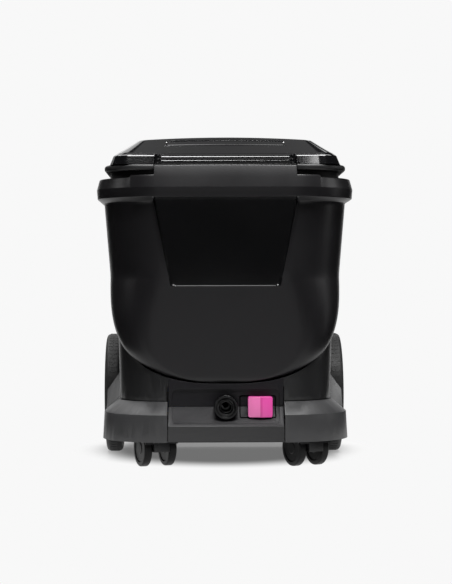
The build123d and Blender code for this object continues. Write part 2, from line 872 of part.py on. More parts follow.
base_plate.part.label = "base_plate"
export_step(base_plate.part, "parts/base_plate.step")

base_screws = screws(base_screw_places, skirt_bottom_z, screw_length)
base_screws.part.label = "base_screws"
export_step(base_screws.part, "parts/base_screws.step")

with BuildPart() as caster_sockets:
    with BuildSketch(Plane.XY.offset(well_top_z)):
        with Locations(*caster_places):
            Circle(socket_radius)
            Circle(caster_stem_radius + running_gap, mode=Mode.SUBTRACT)
    extrude(amount=boss_top_z - well_top_z - socket_wall)
caster_sockets.part.label = "caster_sockets"
export_step(caster_sockets.part, "parts/caster_sockets.step")

# Cradle: a wall round the foot of the tank, with a trough that follows the tank's belly
cradle_outside = stack(
    [
        plan(cradle_foot_half_x, cradle_foot_half_y, cradle_corner, shoulder_top_z),
        plan(cradle_top_half_x, cradle_foot_half_y, cradle_corner, cradle_top_z),
    ]
)
inner_half_y = cradle_foot_half_y - cradle_wall
inner_corner = cradle_corner - cradle_wall
cradle_column = stack(
    [
        plan(cradle_foot_half_x - cradle_wall, inner_half_y, inner_corner, shoulder_top_z),
        plan(cradle_top_half_x - cradle_wall, inner_half_y, inner_corner, cradle_top_z),
    ]
)
scoop = belly_prism(cradle_gap)
trough_back = belly_prism(cradle_gap + cradle_wall)
with BuildPart() as cradle_inside:
    add(cradle_column)
    add(trough_back, mode=Mode.SUBTRACT)
pad_low_z = deck_z + cradle_wall / 2
with BuildPart() as cradle:
    add(cradle_outside)
    add(scoop, mode=Mode.SUBTRACT)
    add(cradle_inside.part, mode=Mode.SUBTRACT)
    add(wall_slot.part, mode=Mode.SUBTRACT)
    extrude(plan(pad_half_x, pad_half_y, pad_corner, pad_low_z), amount=tank_floor_z - pad_low_z)
    with BuildSketch(Plane.XY.offset(shoulder_top_z)):
        with Locations(*cradle_screw_places):
            Circle(screw_boss_radius)
            Circle(screw_radius, mode=Mode.SUBTRACT)
    extrude(amount=deck_z - shoulder_top_z)
    with BuildSketch(Plane.XY.offset(deck_z)):
        with Locations(*tank_boss_places):
            Circle(tank_boss_radius + fit_gap)
        with Locations(fitting_place):
            Circle(fitting_radius)
    extrude(amount=tank_floor_z - deck_z, mode=Mode.SUBTRACT)
    add(axle_hole, mode=Mode.SUBTRACT)
    add(upper_holes, mode=Mode.SUBTRACT)
cradle.part.label = "cradle"
export_step(cradle.part, "parts/cradle.step")

cradle_screws = screws(cradle_screw_places, shoulder_top_z - base_wall, screw_length)
cradle_screws.part.label = "cradle_screws"
export_step(cradle_screws.part, "parts/cradle_screws.step")

tank_screws = screws(tank_boss_places, tank_floor_z - tank_boss_length, tank_boss_length)
tank_screws.part.label = "tank_screws"
export_step(tank_screws.part, "parts/tank_screws.step")


# Front panel: an upright upper half and a lower half that slopes out to the skirt
def panel_face(z):
    slope = min(1.0, max(0.0, (panel_split_z - z) / (panel_split_z - panel_crease_z)))
    return panel_wall_y + (front_y - panel_wall_y) * slope


def panel_layer(depth, low_z, high_z):
    heights = [high_z] + [z for z in (panel_split_z, panel_crease_z) if low_z < z < high_z] + [low_z]
    return [(panel_face(z) + depth, z) for z in heights]


# A slice of the panel between two depths behind its face
def panel_slice(half_x, near, far, low_z, high_z):
    outline = panel_layer(near, low_z, high_z) + panel_layer(far, low_z, high_z)[::-1]
    with BuildPart() as piece:
        with BuildSketch(Plane.YZ):
            with BuildLine():
                Polyline(*outline, close=True)
            make_face()
        extrude(amount=half_x, both=True)
    return piece.part


# The cut from the front that keeps a rounded window of a panel slice
def panel_window(centre_x, width, corner, depth, low_z, high_z):
    layer = panel_slice(panel_half_x, -panel_proud, depth, low_z, high_z)
    with BuildPart() as window:
        with BuildSketch(Plane.XZ.offset(-body_y)):
            with Locations((centre_x, (low_z + high_z) / 2)):
                RectangleRounded(width, high_z - low_z, corner)
        extrude(amount=reach)
        add(layer, mode=Mode.INTERSECT)
    return window.part


def panel_tab(side, panel_back_y, tab_y, low_z):
    inner_x = panel_half_x - panel_wall
    with BuildPart() as tab:
        with Locations((side * (inner_x + tab_outer_x) / 2, tab_y, low_z)):
            run_x = tab_outer_x - inner_x
            Box(run_x, base_wall, panel_tab_length, align=(Align.CENTER, Align.MIN, Align.MIN))
        with Locations((side * (inner_x + panel_half_x) / 2, panel_back_y, low_z)):
            web = tab_y + base_wall - panel_back_y
            Box(panel_wall, web, panel_tab_length, align=(Align.CENTER, Align.MIN, Align.MIN))
    return tab.part


track_low_z = panel_split_z - track_height / 2
track_high_z = panel_split_z + track_height / 2
track_far = panel_recess_depth + track_depth
slider_x = track_x + track_width / 2 - slider_end_gap - slider_width / 2
panel_recess = panel_window(
    0,
    2 * panel_recess_half_x,
    panel_recess_corner,
    panel_recess_depth,
    panel_recess_bottom_z,
    panel_recess_top_z,
)
panel_track = panel_window(track_x, track_width, track_corner, track_far, track_low_z, track_high_z)
coupler_hole = lengthwise(0, panel_split_z, coupler_ring_radius + fit_gap, front_y, body_y)
with BuildPart() as stem_slot:
    with Locations((slider_x - slider_travel / 2, body_y, panel_split_z)):
        Box(
            stem_width + slider_travel + 2 * slider_gap,
            reach,
            stem_height + 2 * slider_gap,
            align=(Align.CENTER, Align.MAX, Align.CENTER),
        )
panel_back_y = panel_wall_y + panel_wall
upper_slab = panel_slice(panel_half_x, 0, panel_wall, panel_split_z + panel_split_gap / 2, cradle_top_z)
upper_tabs = [panel_tab(side, panel_back_y, upper_tab_y, upper_tab_z) for side in (-1, 1)]
lower_tabs = [panel_tab(side, front_y + panel_wall, lower_tab_y, lower_tab_z) for side in (-1, 1)]
lower_slab = panel_slice(panel_half_x, 0, panel_wall, panel_bottom_z, panel_split_z - panel_split_gap / 2)
with BuildPart() as front_panel_upper:
    add(upper_slab)
    add(scoop, mode=Mode.SUBTRACT)
    add(panel_recess, mode=Mode.SUBTRACT)
    add(panel_track, mode=Mode.SUBTRACT)
    add(coupler_hole, mode=Mode.SUBTRACT)
    add(stem_slot.part, mode=Mode.SUBTRACT)
    add(upper_tabs)
    add(upper_holes, mode=Mode.SUBTRACT)
front_panel_upper.part.label = "front_panel_upper"
export_step(front_panel_upper.part, "parts/front_panel_upper.step")

with BuildPart() as front_panel_lower:
    add(lower_slab)
    add(panel_recess, mode=Mode.SUBTRACT)
    add(panel_track, mode=Mode.SUBTRACT)
    add(coupler_hole, mode=Mode.SUBTRACT)
    add(stem_slot.part, mode=Mode.SUBTRACT)
    add(lower_tabs)
    add(lower_holes, mode=Mode.SUBTRACT)
front_panel_lower.part.label = "front_panel_lower"
export_step(front_panel_lower.part, "parts/front_panel_lower.step")

# Coupler: a bored body with a flange behind the panel, a dress ring in front and a seal in its socket
coupler_front_y = panel_wall_y - coupler_ring_proud
coupler_body_y = coupler_front_y + coupler_sunk
coupler_body_end = coupler_body_y + coupler_body_length
coupler_end = coupler_body_end + coupler_barb_length
bore_end = coupler_body_end - coupler_flange_width
flange_radius = coupler_ring_radius + fit_gap + coupler_flange_width
with BuildPart() as outlet_coupler:
    add(lengthwise(0, panel_split_z, coupler_body_radius, coupler_body_y, coupler_body_end))
    add(lengthwise(0, panel_split_z, flange_radius, panel_back_y, panel_back_y + base_wall))
    add(lengthwise(0, panel_split_z, port_radius, coupler_body_end, coupler_end))
    socket_end = coupler_body_y + coupler_socket_depth
    add(lengthwise(0, panel_split_z, coupler_socket_radius, coupler_body_y, socket_end), mode=Mode.SUBTRACT)
    add(lengthwise(0, panel_split_z, coupler_bore_radius, socket_end, bore_end), mode=Mode.SUBTRACT)
    add(lengthwise(0, panel_split_z, port_bore_radius, bore_end, coupler_end), mode=Mode.SUBTRACT)
outlet_coupler.part.label = "outlet_coupler"
export_step(outlet_coupler.part, "parts/outlet_coupler.step")

ring_hole = lengthwise(0, panel_split_z, coupler_body_radius + fit_gap, coupler_front_y, panel_back_y)
with BuildPart() as outlet_ring:
    add(lengthwise(0, panel_split_z, coupler_ring_radius, coupler_front_y, panel_back_y))
    add(ring_hole, mode=Mode.SUBTRACT)
    fillet(outlet_ring.faces().sort_by(Axis.Y)[0].edges(), coupler_ring_round)
outlet_ring.part.label = "outlet_ring"
export_step(outlet_ring.part, "parts/outlet_ring.step")

with BuildPart(Plane.XZ.offset(-socket_end)) as outlet_seal:
    with Locations((0, panel_split_z, seal_wire_radius)):
        Torus(coupler_socket_radius - seal_wire_radius - fit_gap, seal_wire_radius)
outlet_seal.part.label = "outlet_seal"
export_step(outlet_seal.part, "parts/outlet_seal.step")

# Slide switch: a two-facet knob on the panel, its shoe behind the panel and the fixed switch module
slider_front_y = panel_wall_y - slider_front_proud
slider_low_z = panel_split_z - slider_height / 2
slider_high_z = panel_split_z + slider_height / 2
slider_left_x = slider_x - slider_width / 2
slider_right_x = slider_x + slider_width / 2
ridge_x = slider_left_x + slider_ridge_share * slider_width
slider_back = panel_layer(track_far - slider_gap, slider_low_z, slider_high_z)
slider_front = [(slider_front_y, slider_low_z), (slider_front_y, slider_high_z)]
shoe_y = panel_back_y + slider_gap
stem_y = panel_wall_y + track_far - slider_gap
with BuildPart() as slider_profile:
    with BuildSketch(Plane.YZ):
        with BuildLine():
            Polyline(*slider_back, *slider_front, close=True)
        make_face()
    extrude(amount=panel_half_x)
with BuildPart() as switch_slider:
    with BuildSketch(Plane.XY.offset(slider_low_z)):
        with BuildLine():
            Polyline(
                (slider_left_x, slider_front_y + slider_ridge),
                (ridge_x, slider_front_y),
                (slider_right_x, slider_front_y + slider_ridge),
                (slider_right_x, body_y),
                (slider_left_x, body_y),
                close=True,
            )
        make_face()
    extrude(amount=slider_height)
    add(slider_profile.part, mode=Mode.INTERSECT)
    with Locations((slider_x, stem_y, panel_split_z)):
        Box(stem_width, shoe_y - stem_y, stem_height, align=(Align.CENTER, Align.MIN, Align.CENTER))
switch_slider.part.label = "switch_slider"
export_step(switch_slider.part, "parts/switch_slider.step")

with BuildPart() as switch_shoe:
    with Locations((slider_x, shoe_y, panel_split_z)):
        Box(shoe_width, shoe_thickness, shoe_height, align=(Align.CENTER, Align.MIN, Align.CENTER))
switch_shoe.part.label = "switch_shoe"
export_step(switch_shoe.part, "parts/switch_shoe.step")

module_x = slider_x - slider_travel / 2
module_y = shoe_y + shoe_thickness + slider_gap
with BuildPart() as switch_module:
    with Locations((module_x, module_y, panel_split_z)):
        Box(module_width, module_depth, module_height, align=(Align.CENTER, Align.MIN, Align.CENTER))
    with Locations((module_x, module_y + module_depth, panel_split_z)):
        Box(module_width, base_wall, tank_floor_z - panel_split_z, align=(Align.CENTER, Align.MAX, Align.MIN))
    add(trough_back, mode=Mode.SUBTRACT)
switch_module.part.label = "switch_module"
export_step(switch_module.part, "parts/switch_module.step")

with BuildPart() as panel_screws:
    for tab_y, low_z in ((upper_tab_y, upper_tab_z), (lower_tab_y, lower_tab_z)):
        for side in (-1, 1):
            z = low_z + panel_tab_length / 2
            head_y = tab_y + base_wall
            add(lengthwise(side * tab_screw_x, z, screw_radius, tab_y - base_wall / 2, head_y))
            add(lengthwise(side * tab_screw_x, z, screw_head_radius, head_y, head_y + screw_head_height))
panel_screws.part.label = "panel_screws"
export_step(panel_screws.part, "parts/panel_screws.step")

# Rear wheels, each a tyre on a moulded rim with a bush and a hub cap
bush_radius = axle_radius + running_gap + bush_thickness
rim_radius = rear_wheel_radius - tyre_depth
hub_outer_x = wheel_outer_x - hub_recess
retainer_x = hub_outer_x + retainer_gap
axle_end_x = retainer_x + retainer_width + retainer_gap
cap_depth = axle_end_x - hub_outer_x + cap_clear
hub_length = hub_outer_x - wheel_inner_x - rim_inset
spoke_window_place = (hub_radius + rim_radius - rim_band_thickness) / 2
for side, hand in ((-1, "left"), (1, "right")):
    wheel_plane = Plane(origin=(side * wheel_inner_x, axle_y, axle_z), x_dir=(0, 1, 0), z_dir=(side, 0, 0))
    hub_plane = wheel_plane.offset(rim_inset)
    cap_plane = wheel_plane.offset(hub_outer_x - wheel_inner_x)
    with BuildPart() as rear_tyre:
        with BuildSketch(wheel_plane):
            Circle(rear_wheel_radius)
        extrude(amount=rear_wheel_width)
        fillet(rear_tyre.edges().filter_by(GeomType.CIRCLE), tyre_round)
        with BuildSketch(wheel_plane):
            Circle(rim_radius)
        extrude(amount=rear_wheel_width, mode=Mode.SUBTRACT)
    rear_tyre.part.label = f"rear_tyre_{hand}"
    export_step(rear_tyre.part, f"parts/rear_tyre_{hand}.step")
    with BuildPart() as rear_rim:
        with BuildSketch(hub_plane):
            Circle(rim_radius)
            Circle(rim_radius - rim_band_thickness, mode=Mode.SUBTRACT)
        extrude(amount=rear_wheel_width - 2 * rim_inset)
        with BuildSketch(wheel_plane.offset((rear_wheel_width - rim_web) / 2)):
            Circle(rim_radius - rim_band_thickness)
            with PolarLocations(spoke_window_place, spoke_count):
                RectangleRounded(
                    spoke_window_length,
                    spoke_window_width,
                    spoke_window_corner,
                    mode=Mode.SUBTRACT,
                )
        extrude(amount=rim_web)
        with BuildSketch(hub_plane):
            Circle(hub_radius)
        extrude(amount=hub_length)
        with BuildSketch(hub_plane):
            Circle(bush_radius)
        extrude(amount=hub_length, mode=Mode.SUBTRACT)
    rear_rim.part.label = f"rear_rim_{hand}"
    export_step(rear_rim.part, f"parts/rear_rim_{hand}.step")
    with BuildPart() as hub_bush:
        with BuildSketch(hub_plane):
            Circle(bush_radius)
            Circle(axle_radius + running_gap, mode=Mode.SUBTRACT)
        extrude(amount=hub_length)
    hub_bush.part.label = f"hub_bush_{hand}"
    export_step(hub_bush.part, f"parts/hub_bush_{hand}.step")
    with BuildPart() as hub_cap:
        with BuildSketch(cap_plane):
            Circle(hub_radius)
        extrude(amount=cap_depth + cap_wall)
        cap_edges = hub_cap.edges().filter_by(GeomType.CIRCLE).sort_by(Axis.X)
        fillet(cap_edges[-1 if side > 0 else 0], cap_wall / 2)
        with BuildSketch(cap_plane):
            Circle(hub_radius - cap_wall)
        extrude(amount=cap_depth, mode=Mode.SUBTRACT)
    hub_cap.part.label = f"hub_cap_{hand}"
    export_step(hub_cap.part, f"parts/hub_cap_{hand}.step")

# Fixed rear axle, its push-on retainers and the pillars that carry it
with BuildPart() as rear_axle:
    add(across((0, axle_y, axle_z), axle_radius, 2 * axle_end_x))
rear_axle.part.label = "rear_axle"
export_step(rear_axle.part, "parts/rear_axle.step")

with BuildPart() as axle_retainers:
    for side in (-1, 1):
        with BuildSketch(Plane.YZ.offset(side * retainer_x)):
            with Locations((axle_y, axle_z)):
                Circle(retainer_radius)
                Circle(axle_radius, mode=Mode.SUBTRACT)
        extrude(amount=side * retainer_width)
axle_retainers.part.label = "axle_retainers"
export_step(axle_retainers.part, "parts/axle_retainers.step")

bracket_top_z = axle_z + axle_radius + bracket_cap
with BuildPart() as axle_brackets:
    with Locations((-bracket_x, axle_y, plate_top_z), (bracket_x, axle_y, plate_top_z)):
        Box(
            bracket_block_width,
            bracket_block_length,
            bracket_top_z - plate_top_z,
            align=(Align.CENTER, Align.CENTER, Align.MIN),
        )
    add(rear_axle.part, mode=Mode.SUBTRACT)
axle_brackets.part.label = "axle_brackets"
export_step(axle_brackets.part, "parts/axle_brackets.step")

# Casters: a swivelling hood with its stem, and two wheels on a short axle behind the swivel
neck_top_z = well_top_z - caster_web_gap
web_half_x = (caster_pitch - caster_wheel_width) / 2 - caster_web_gap
stem_low_z = caster_wheel_radius + caster_neck_radius
stem_high_z = boss_top_z - socket_wall - caster_web_gap
for side, hand, swing in ((-1, "left", caster_swing_left), (1, "right", caster_swing_right)):
    turn = math.radians(swing)
    axis = (math.cos(turn), math.sin(turn), 0)
    trail = (math.sin(turn), -math.cos(turn), 0)
    swivel = (side * caster_x, caster_y, 0)
    hub = (swivel[0] + caster_trail * trail[0], swivel[1] + caster_trail * trail[1], caster_wheel_radius)
    hub_plane = Plane(origin=hub, x_dir=trail, z_dir=axis)
    swivel_plane = Plane(origin=swivel, x_dir=axis, z_dir=(0, 0, 1))
    with BuildPart() as caster_hood:
        with BuildSketch(hub_plane):
            Circle(hood_radius)
        extrude(amount=hood_half_x, both=True)
        with BuildSketch(hub_plane):
            Circle(hood_radius - caster_hood_thickness)
        extrude(amount=hood_half_x, both=True, mode=Mode.SUBTRACT)
        with Locations((hub[0], hub[1], caster_hood_low_z)):
            Box(reach, reach, reach, align=(Align.CENTER, Align.CENTER, Align.MIN), mode=Mode.INTERSECT)
        with BuildSketch(hub_plane):
            Circle(hood_radius)
        extrude(amount=web_half_x, both=True)
        with Locations((hub[0], hub[1], caster_web_low_z)):
            Box(reach, reach, reach, align=(Align.CENTER, Align.CENTER, Align.MIN), mode=Mode.INTERSECT)
        with BuildSketch(swivel_plane.offset(caster_wheel_radius)):
            Circle(caster_neck_radius)
        extrude(amount=neck_top_z - caster_wheel_radius)
        with BuildSketch(swivel_plane.offset(stem_low_z)):
            Circle(caster_stem_radius)
        extrude(amount=reach, mode=Mode.SUBTRACT)
        with BuildSketch(hub_plane):
            Circle(caster_axle_radius)
        extrude(amount=hood_half_x, both=True, mode=Mode.SUBTRACT)
    caster_hood.part.label = f"caster_hood_{hand}"
    export_step(caster_hood.part, f"parts/caster_hood_{hand}.step")
    with BuildPart() as caster_stem:
        with BuildSketch(swivel_plane.offset(stem_low_z)):
            Circle(caster_stem_radius)
        extrude(amount=stem_high_z - stem_low_z)
    caster_stem.part.label = f"caster_stem_{hand}"
    export_step(caster_stem.part, f"parts/caster_stem_{hand}.step")
    with BuildPart() as caster_axle:
        with BuildSketch(hub_plane):
            Circle(caster_axle_radius)
        extrude(amount=hood_half_x - caster_hood_gap, both=True)
    caster_axle.part.label = f"caster_axle_{hand}"
    export_step(caster_axle.part, f"parts/caster_axle_{hand}.step")
    for reach_side, place in ((-1, "near"), (1, "far")):
        inner_plane = hub_plane.offset(reach_side * (caster_pitch - caster_wheel_width) / 2)
        with BuildPart() as caster_wheel:
            with BuildSketch(inner_plane):
                Circle(caster_wheel_radius)
            extrude(amount=reach_side * caster_wheel_width)
            fillet(caster_wheel.faces().filter_by(GeomType.PLANE).edges(), caster_wheel_round)
            with BuildSketch(inner_plane):
                Circle(caster_axle_radius + running_gap)
            extrude(amount=reach_side * caster_wheel_width, mode=Mode.SUBTRACT)
        caster_wheel.part.label = f"caster_wheel_{hand}_{place}"
        export_step(caster_wheel.part, f"parts/caster_wheel_{hand}_{place}.step")


def block(centre, size):
    with BuildPart() as solid:
        with Locations(centre):
            Box(*size, align=(Align.CENTER, Align.CENTER, Align.MIN))
    return solid.part


# Pump set: motor, pump head with two side ports, sheet bracket and rubber feet
motor_end_y = motor_front_y + motor_length
pump_face_x = pump_x - pump_head_width / 2
inlet = (pump_face_x, motor_front_y - inlet_setback, pump_z - inlet_drop)
outlet = (pump_face_x, motor_front_y - outlet_setback, pump_z + outlet_rise)
with BuildPart() as pump_motor:
    add(lengthwise(pump_x, pump_z, motor_radius, motor_front_y, motor_end_y))
    chamfer(pump_motor.edges().filter_by(GeomType.CIRCLE).sort_by(Axis.Y)[-1], bracket_thickness)
pump_motor.part.label = "pump_motor"
export_step(pump_motor.part, "parts/pump_motor.step")

with BuildPart() as pump_head:
    with Locations((pump_x, motor_front_y, pump_z)):
        Box(
            pump_head_width,
            pump_head_length,
            pump_head_height,
            align=(Align.CENTER, Align.MAX, Align.CENTER),
        )
    for port in (inlet, outlet):
        centre = (port[0] - port_length / 2, port[1], port[2])
        add(across(centre, port_radius, port_length))
        add(across(centre, port_bore_radius, 2 * port_length), mode=Mode.SUBTRACT)
pump_head.part.label = "pump_head"
export_step(pump_head.part, "parts/pump_head.step")

bracket_low_z = plate_top_z + foot_height
saddle_z = bracket_low_z + bracket_thickness
bracket_length = motor_length - 2 * bracket_inset
bracket_y = motor_front_y + motor_length / 2
saddle_reach = (bracket_length - saddle_thickness) / 2
saddle_height = pump_z - saddle_drop - saddle_z
motor_cut = lengthwise(pump_x, pump_z, motor_radius, motor_front_y, motor_end_y)
with BuildPart() as pump_bracket:
    add(block((pump_x, bracket_y, bracket_low_z), (bracket_width, bracket_length, bracket_thickness)))
    for end in (-1, 1):
        saddle_centre = (pump_x, bracket_y + end * saddle_reach, saddle_z)
        add(block(saddle_centre, (bracket_width, saddle_thickness, saddle_height)))
    add(motor_cut, mode=Mode.SUBTRACT)
pump_bracket.part.label = "pump_bracket"
export_step(pump_bracket.part, "parts/pump_bracket.step")

foot_pitch_x = bracket_width - 2 * foot_inset
foot_pitch_y = bracket_length - 2 * foot_inset
with BuildPart() as pump_feet:
    with Locations((pump_x, bracket_y, plate_top_z)):
        with GridLocations(foot_pitch_x, foot_pitch_y, 2, 2):
            Cylinder(foot_radius, foot_height, align=(Align.CENTER, Align.CENTER, Align.MIN))
pump_feet.part.label = "pump_feet"
export_step(pump_feet.part, "parts/pump_feet.step")

# Battery in its tray
battery_low_z = plate_top_z + tray_wall
battery_centre = (battery_x, battery_y, battery_low_z)
tray_width = battery_width + 2 * (tray_gap + tray_wall)
tray_length = battery_length + 2 * (tray_gap + tray_wall)
with BuildPart() as battery_pack:
    add(block(battery_centre, (battery_width, battery_length, battery_height)))
    chamfer(battery_pack.edges().filter_by(Axis.Z), tray_wall)
battery_pack.part.label = "battery_pack"
export_step(battery_pack.part, "parts/battery_pack.step")

pocket_size = (battery_width + 2 * tray_gap, battery_length + 2 * tray_gap, tray_height)
with BuildPart() as battery_tray:
    add(block((battery_x, battery_y, plate_top_z), (tray_width, tray_length, tray_height)))
    add(block(battery_centre, pocket_size), mode=Mode.SUBTRACT)
battery_tray.part.label = "battery_tray"
export_step(battery_tray.part, "parts/battery_tray.step")

# Control board with its parts, on four standoffs
board_z = plate_top_z + standoff_height
board_top_z = board_z + board_thickness
standoff_pitch_x = board_width - 2 * standoff_inset
standoff_pitch_y = board_length - 2 * standoff_inset
with BuildPart() as control_board:
    add(block((board_x, board_y, board_z), (board_width, board_length, board_thickness)))
    with Locations((board_x, board_y, board_top_z)):
        with GridLocations(can_pitch, can_pitch, 2, 2):
            Cylinder(can_radius, board_part_height, align=(Align.CENTER, Align.CENTER, Align.MIN))
        Box(sink_length, sink_width, board_part_height, align=(Align.CENTER, Align.CENTER, Align.MIN))
control_board.part.label = "control_board"
export_step(control_board.part, "parts/control_board.step")

with BuildPart() as board_standoffs:
    with Locations((board_x, board_y, plate_top_z)):
        with GridLocations(standoff_pitch_x, standoff_pitch_y, 2, 2):
            Cylinder(standoff_radius, standoff_height, align=(Align.CENTER, Align.CENTER, Align.MIN))
board_standoffs.part.label = "board_standoffs"
export_step(board_standoffs.part, "parts/board_standoffs.step")

# Tank outlet fitting, sealed inside the tank and nutted under the cradle's deck
floor_top_z = tank_floor_z + tank_wall
fitting_flange_z = floor_top_z + fitting_seal_height
fitting_top_z = fitting_flange_z + fitting_flange_height
fitting_low_z = deck_z - fitting_nut_height - bracket_thickness
barb_low_z = fitting_low_z - fitting_barb_length


def disc(radius, low_z, high_z):
    with BuildPart() as solid:
        with Locations((0, fitting_y, low_z)):
            Cylinder(radius, high_z - low_z, align=(Align.CENTER, Align.CENTER, Align.MIN))
    return solid.part


with BuildPart() as tank_fitting:
    add(disc(fitting_flange_radius, fitting_flange_z, fitting_top_z))
    add(disc(fitting_radius, fitting_low_z, fitting_flange_z))
    add(disc(port_radius, barb_low_z, fitting_low_z))
    add(disc(port_bore_radius, barb_low_z, fitting_top_z), mode=Mode.SUBTRACT)
tank_fitting.part.label = "tank_fitting"
export_step(tank_fitting.part, "parts/tank_fitting.step")

with BuildPart() as fitting_seal:
    add(disc(fitting_flange_radius, floor_top_z, fitting_flange_z))
    add(disc(fitting_radius, floor_top_z, fitting_flange_z), mode=Mode.SUBTRACT)
fitting_seal.part.label = "fitting_seal"
export_step(fitting_seal.part, "parts/fitting_seal.step")

with BuildPart() as fitting_nut:
    with BuildSketch(Plane.XY.offset(deck_z - fitting_nut_height)):
        with Locations(fitting_place):
            RegularPolygon(fitting_nut_radius, nut_sides)
            Circle(fitting_radius, mode=Mode.SUBTRACT)
    extrude(amount=fitting_nut_height)
fitting_nut.part.label = "fitting_nut"
export_step(fitting_nut.part, "parts/fitting_nut.step")

filter_top_z = fitting_top_z + filter_height
slot_height = filter_height - 2 * filter_end
with BuildPart() as inlet_filter:
    add(disc(filter_radius, fitting_top_z, filter_top_z))
    add(disc(filter_radius - filter_wall, fitting_top_z, filter_top_z - filter_wall), mode=Mode.SUBTRACT)
    with Locations((0, fitting_y, fitting_top_z + filter_end)):
        with PolarLocations(filter_radius, filter_slots):
            Box(
                filter_radius,
                filter_slot_width,
                slot_height,
                align=(Align.CENTER, Align.CENTER, Align.MIN),
                mode=Mode.SUBTRACT,
            )
inlet_filter.part.label = "inlet_filter"
export_step(inlet_filter.part, "parts/inlet_filter.step")


# Hoses inside the base, each pushed over a barb at both ends
def hose(points, bend):
    with BuildPart() as tube:
        with BuildLine() as route:
            FilletPolyline(*points, radius=bend)
        with BuildSketch(Plane(origin=route.line @ 0, z_dir=route.line % 0)):
            Circle(port_radius + hose_wall)
            Circle(port_radius, mode=Mode.SUBTRACT)
        sweep()
    return tube


suction_points = [(0, fitting_y, fitting_low_z), (0, fitting_y, inlet[2]), (0, inlet[1], inlet[2]), inlet]
suction_hose = hose(suction_points, suction_bend)
suction_hose.part.label = "suction_hose"
export_step(suction_hose.part, "parts/suction_hose.step")

pressure_points = [outlet, (0, outlet[1], outlet[2]), (0, coupler_body_end, panel_split_z)]
pressure_hose = hose(pressure_points, pressure_bend)
pressure_hose.part.label = "pressure_hose"
export_step(pressure_hose.part, "parts/pressure_hose.step")

# Charging socket in the back of the skirt
charge_low_z = charge_z - charge_flange_radius
charge_high_z = charge_z + charge_flange_radius
charge_face_y = body_y + skirt_half_y - skirt_lean * (charge_low_z - skirt_bottom_z)
charge_back_y = body_y + skirt_half_y - base_wall - skirt_lean * (charge_high_z - skirt_bottom_z)
charge_out_y = charge_face_y + charge_flange_width
with BuildPart() as charge_socket:
    add(lengthwise(charge_x, charge_z, charge_flange_radius, charge_face_y, charge_out_y))
    add(lengthwise(charge_x, charge_z, charge_radius, charge_out_y - charge_length, charge_face_y))
    bore_low_y = charge_out_y - charge_bore_depth
    add(lengthwise(charge_x, charge_z, charge_bore_radius, bore_low_y, charge_out_y), mode=Mode.SUBTRACT)
charge_socket.part.label = "charge_socket"
export_step(charge_socket.part, "parts/charge_socket.step")

with BuildPart() as charge_socket_nut:
    add(lengthwise(charge_x, charge_z, charge_flange_radius, charge_back_y - charge_nut_width, charge_back_y))
    nut_front_y = charge_back_y - charge_nut_width
    add(lengthwise(charge_x, charge_z, charge_radius, nut_front_y, charge_back_y), mode=Mode.SUBTRACT)
charge_socket_nut.part.label = "charge_socket_nut"
export_step(charge_socket_nut.part, "parts/charge_socket_nut.step")
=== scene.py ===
import json
import math

import bmesh
import bpy
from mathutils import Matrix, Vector

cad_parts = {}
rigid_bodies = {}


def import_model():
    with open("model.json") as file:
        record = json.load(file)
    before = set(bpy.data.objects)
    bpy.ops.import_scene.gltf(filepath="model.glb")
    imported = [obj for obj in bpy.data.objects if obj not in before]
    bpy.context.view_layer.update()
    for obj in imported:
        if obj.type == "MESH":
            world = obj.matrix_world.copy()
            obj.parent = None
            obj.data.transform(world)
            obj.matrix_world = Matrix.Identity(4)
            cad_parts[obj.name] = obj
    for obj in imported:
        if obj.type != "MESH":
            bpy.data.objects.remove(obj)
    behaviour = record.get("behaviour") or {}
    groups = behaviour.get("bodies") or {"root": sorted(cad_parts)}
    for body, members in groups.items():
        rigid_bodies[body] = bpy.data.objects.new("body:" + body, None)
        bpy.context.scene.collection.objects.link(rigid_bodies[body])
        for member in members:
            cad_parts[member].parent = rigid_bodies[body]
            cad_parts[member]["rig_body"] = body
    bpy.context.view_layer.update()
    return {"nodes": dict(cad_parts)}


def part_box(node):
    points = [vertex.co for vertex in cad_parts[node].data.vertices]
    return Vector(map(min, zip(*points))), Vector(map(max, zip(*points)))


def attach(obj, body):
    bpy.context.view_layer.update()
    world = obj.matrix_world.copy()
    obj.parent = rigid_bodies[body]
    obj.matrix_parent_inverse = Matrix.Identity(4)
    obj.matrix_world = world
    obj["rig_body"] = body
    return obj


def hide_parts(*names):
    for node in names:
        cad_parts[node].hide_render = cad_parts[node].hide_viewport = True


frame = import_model()
mm = 0.001
micron = 1e-6
middleY = -17.0  # mm, middle of the tub from front to back
print("frame loaded:", len(frame["nodes"]), "nodes")


def linear(colour):
    channels = [int(colour[i:i + 2], 16) / 255 for i in (0, 2, 4)]
    return tuple(c / 12.92 if c <= 0.04045 else ((c + 0.055) / 1.055) ** 2.4 for c in channels) + (1.0,)


def addNode(tree, kind, inputs=None, **settings):
    node = tree.nodes.new(kind)
    for name, value in settings.items():
        setattr(node, name, value)
    for name, value in (inputs or {}).items():
        if isinstance(value, bpy.types.NodeSocket):
            tree.links.new(value, node.inputs[name])
        else:
            node.inputs[name].default_value = value
    return node


def newMaterial(name):
    material = bpy.data.materials.new(name)
    material.use_nodes = True
    tree = material.node_tree
    tree.nodes.clear()
    output = addNode(tree, "ShaderNodeOutputMaterial")
    return material, tree, output


colourA, colourB = 6, 7  # colour sockets of a Mix node
noiseLow, noiseHigh = 0.3, 0.7  # most of a noise lies between these


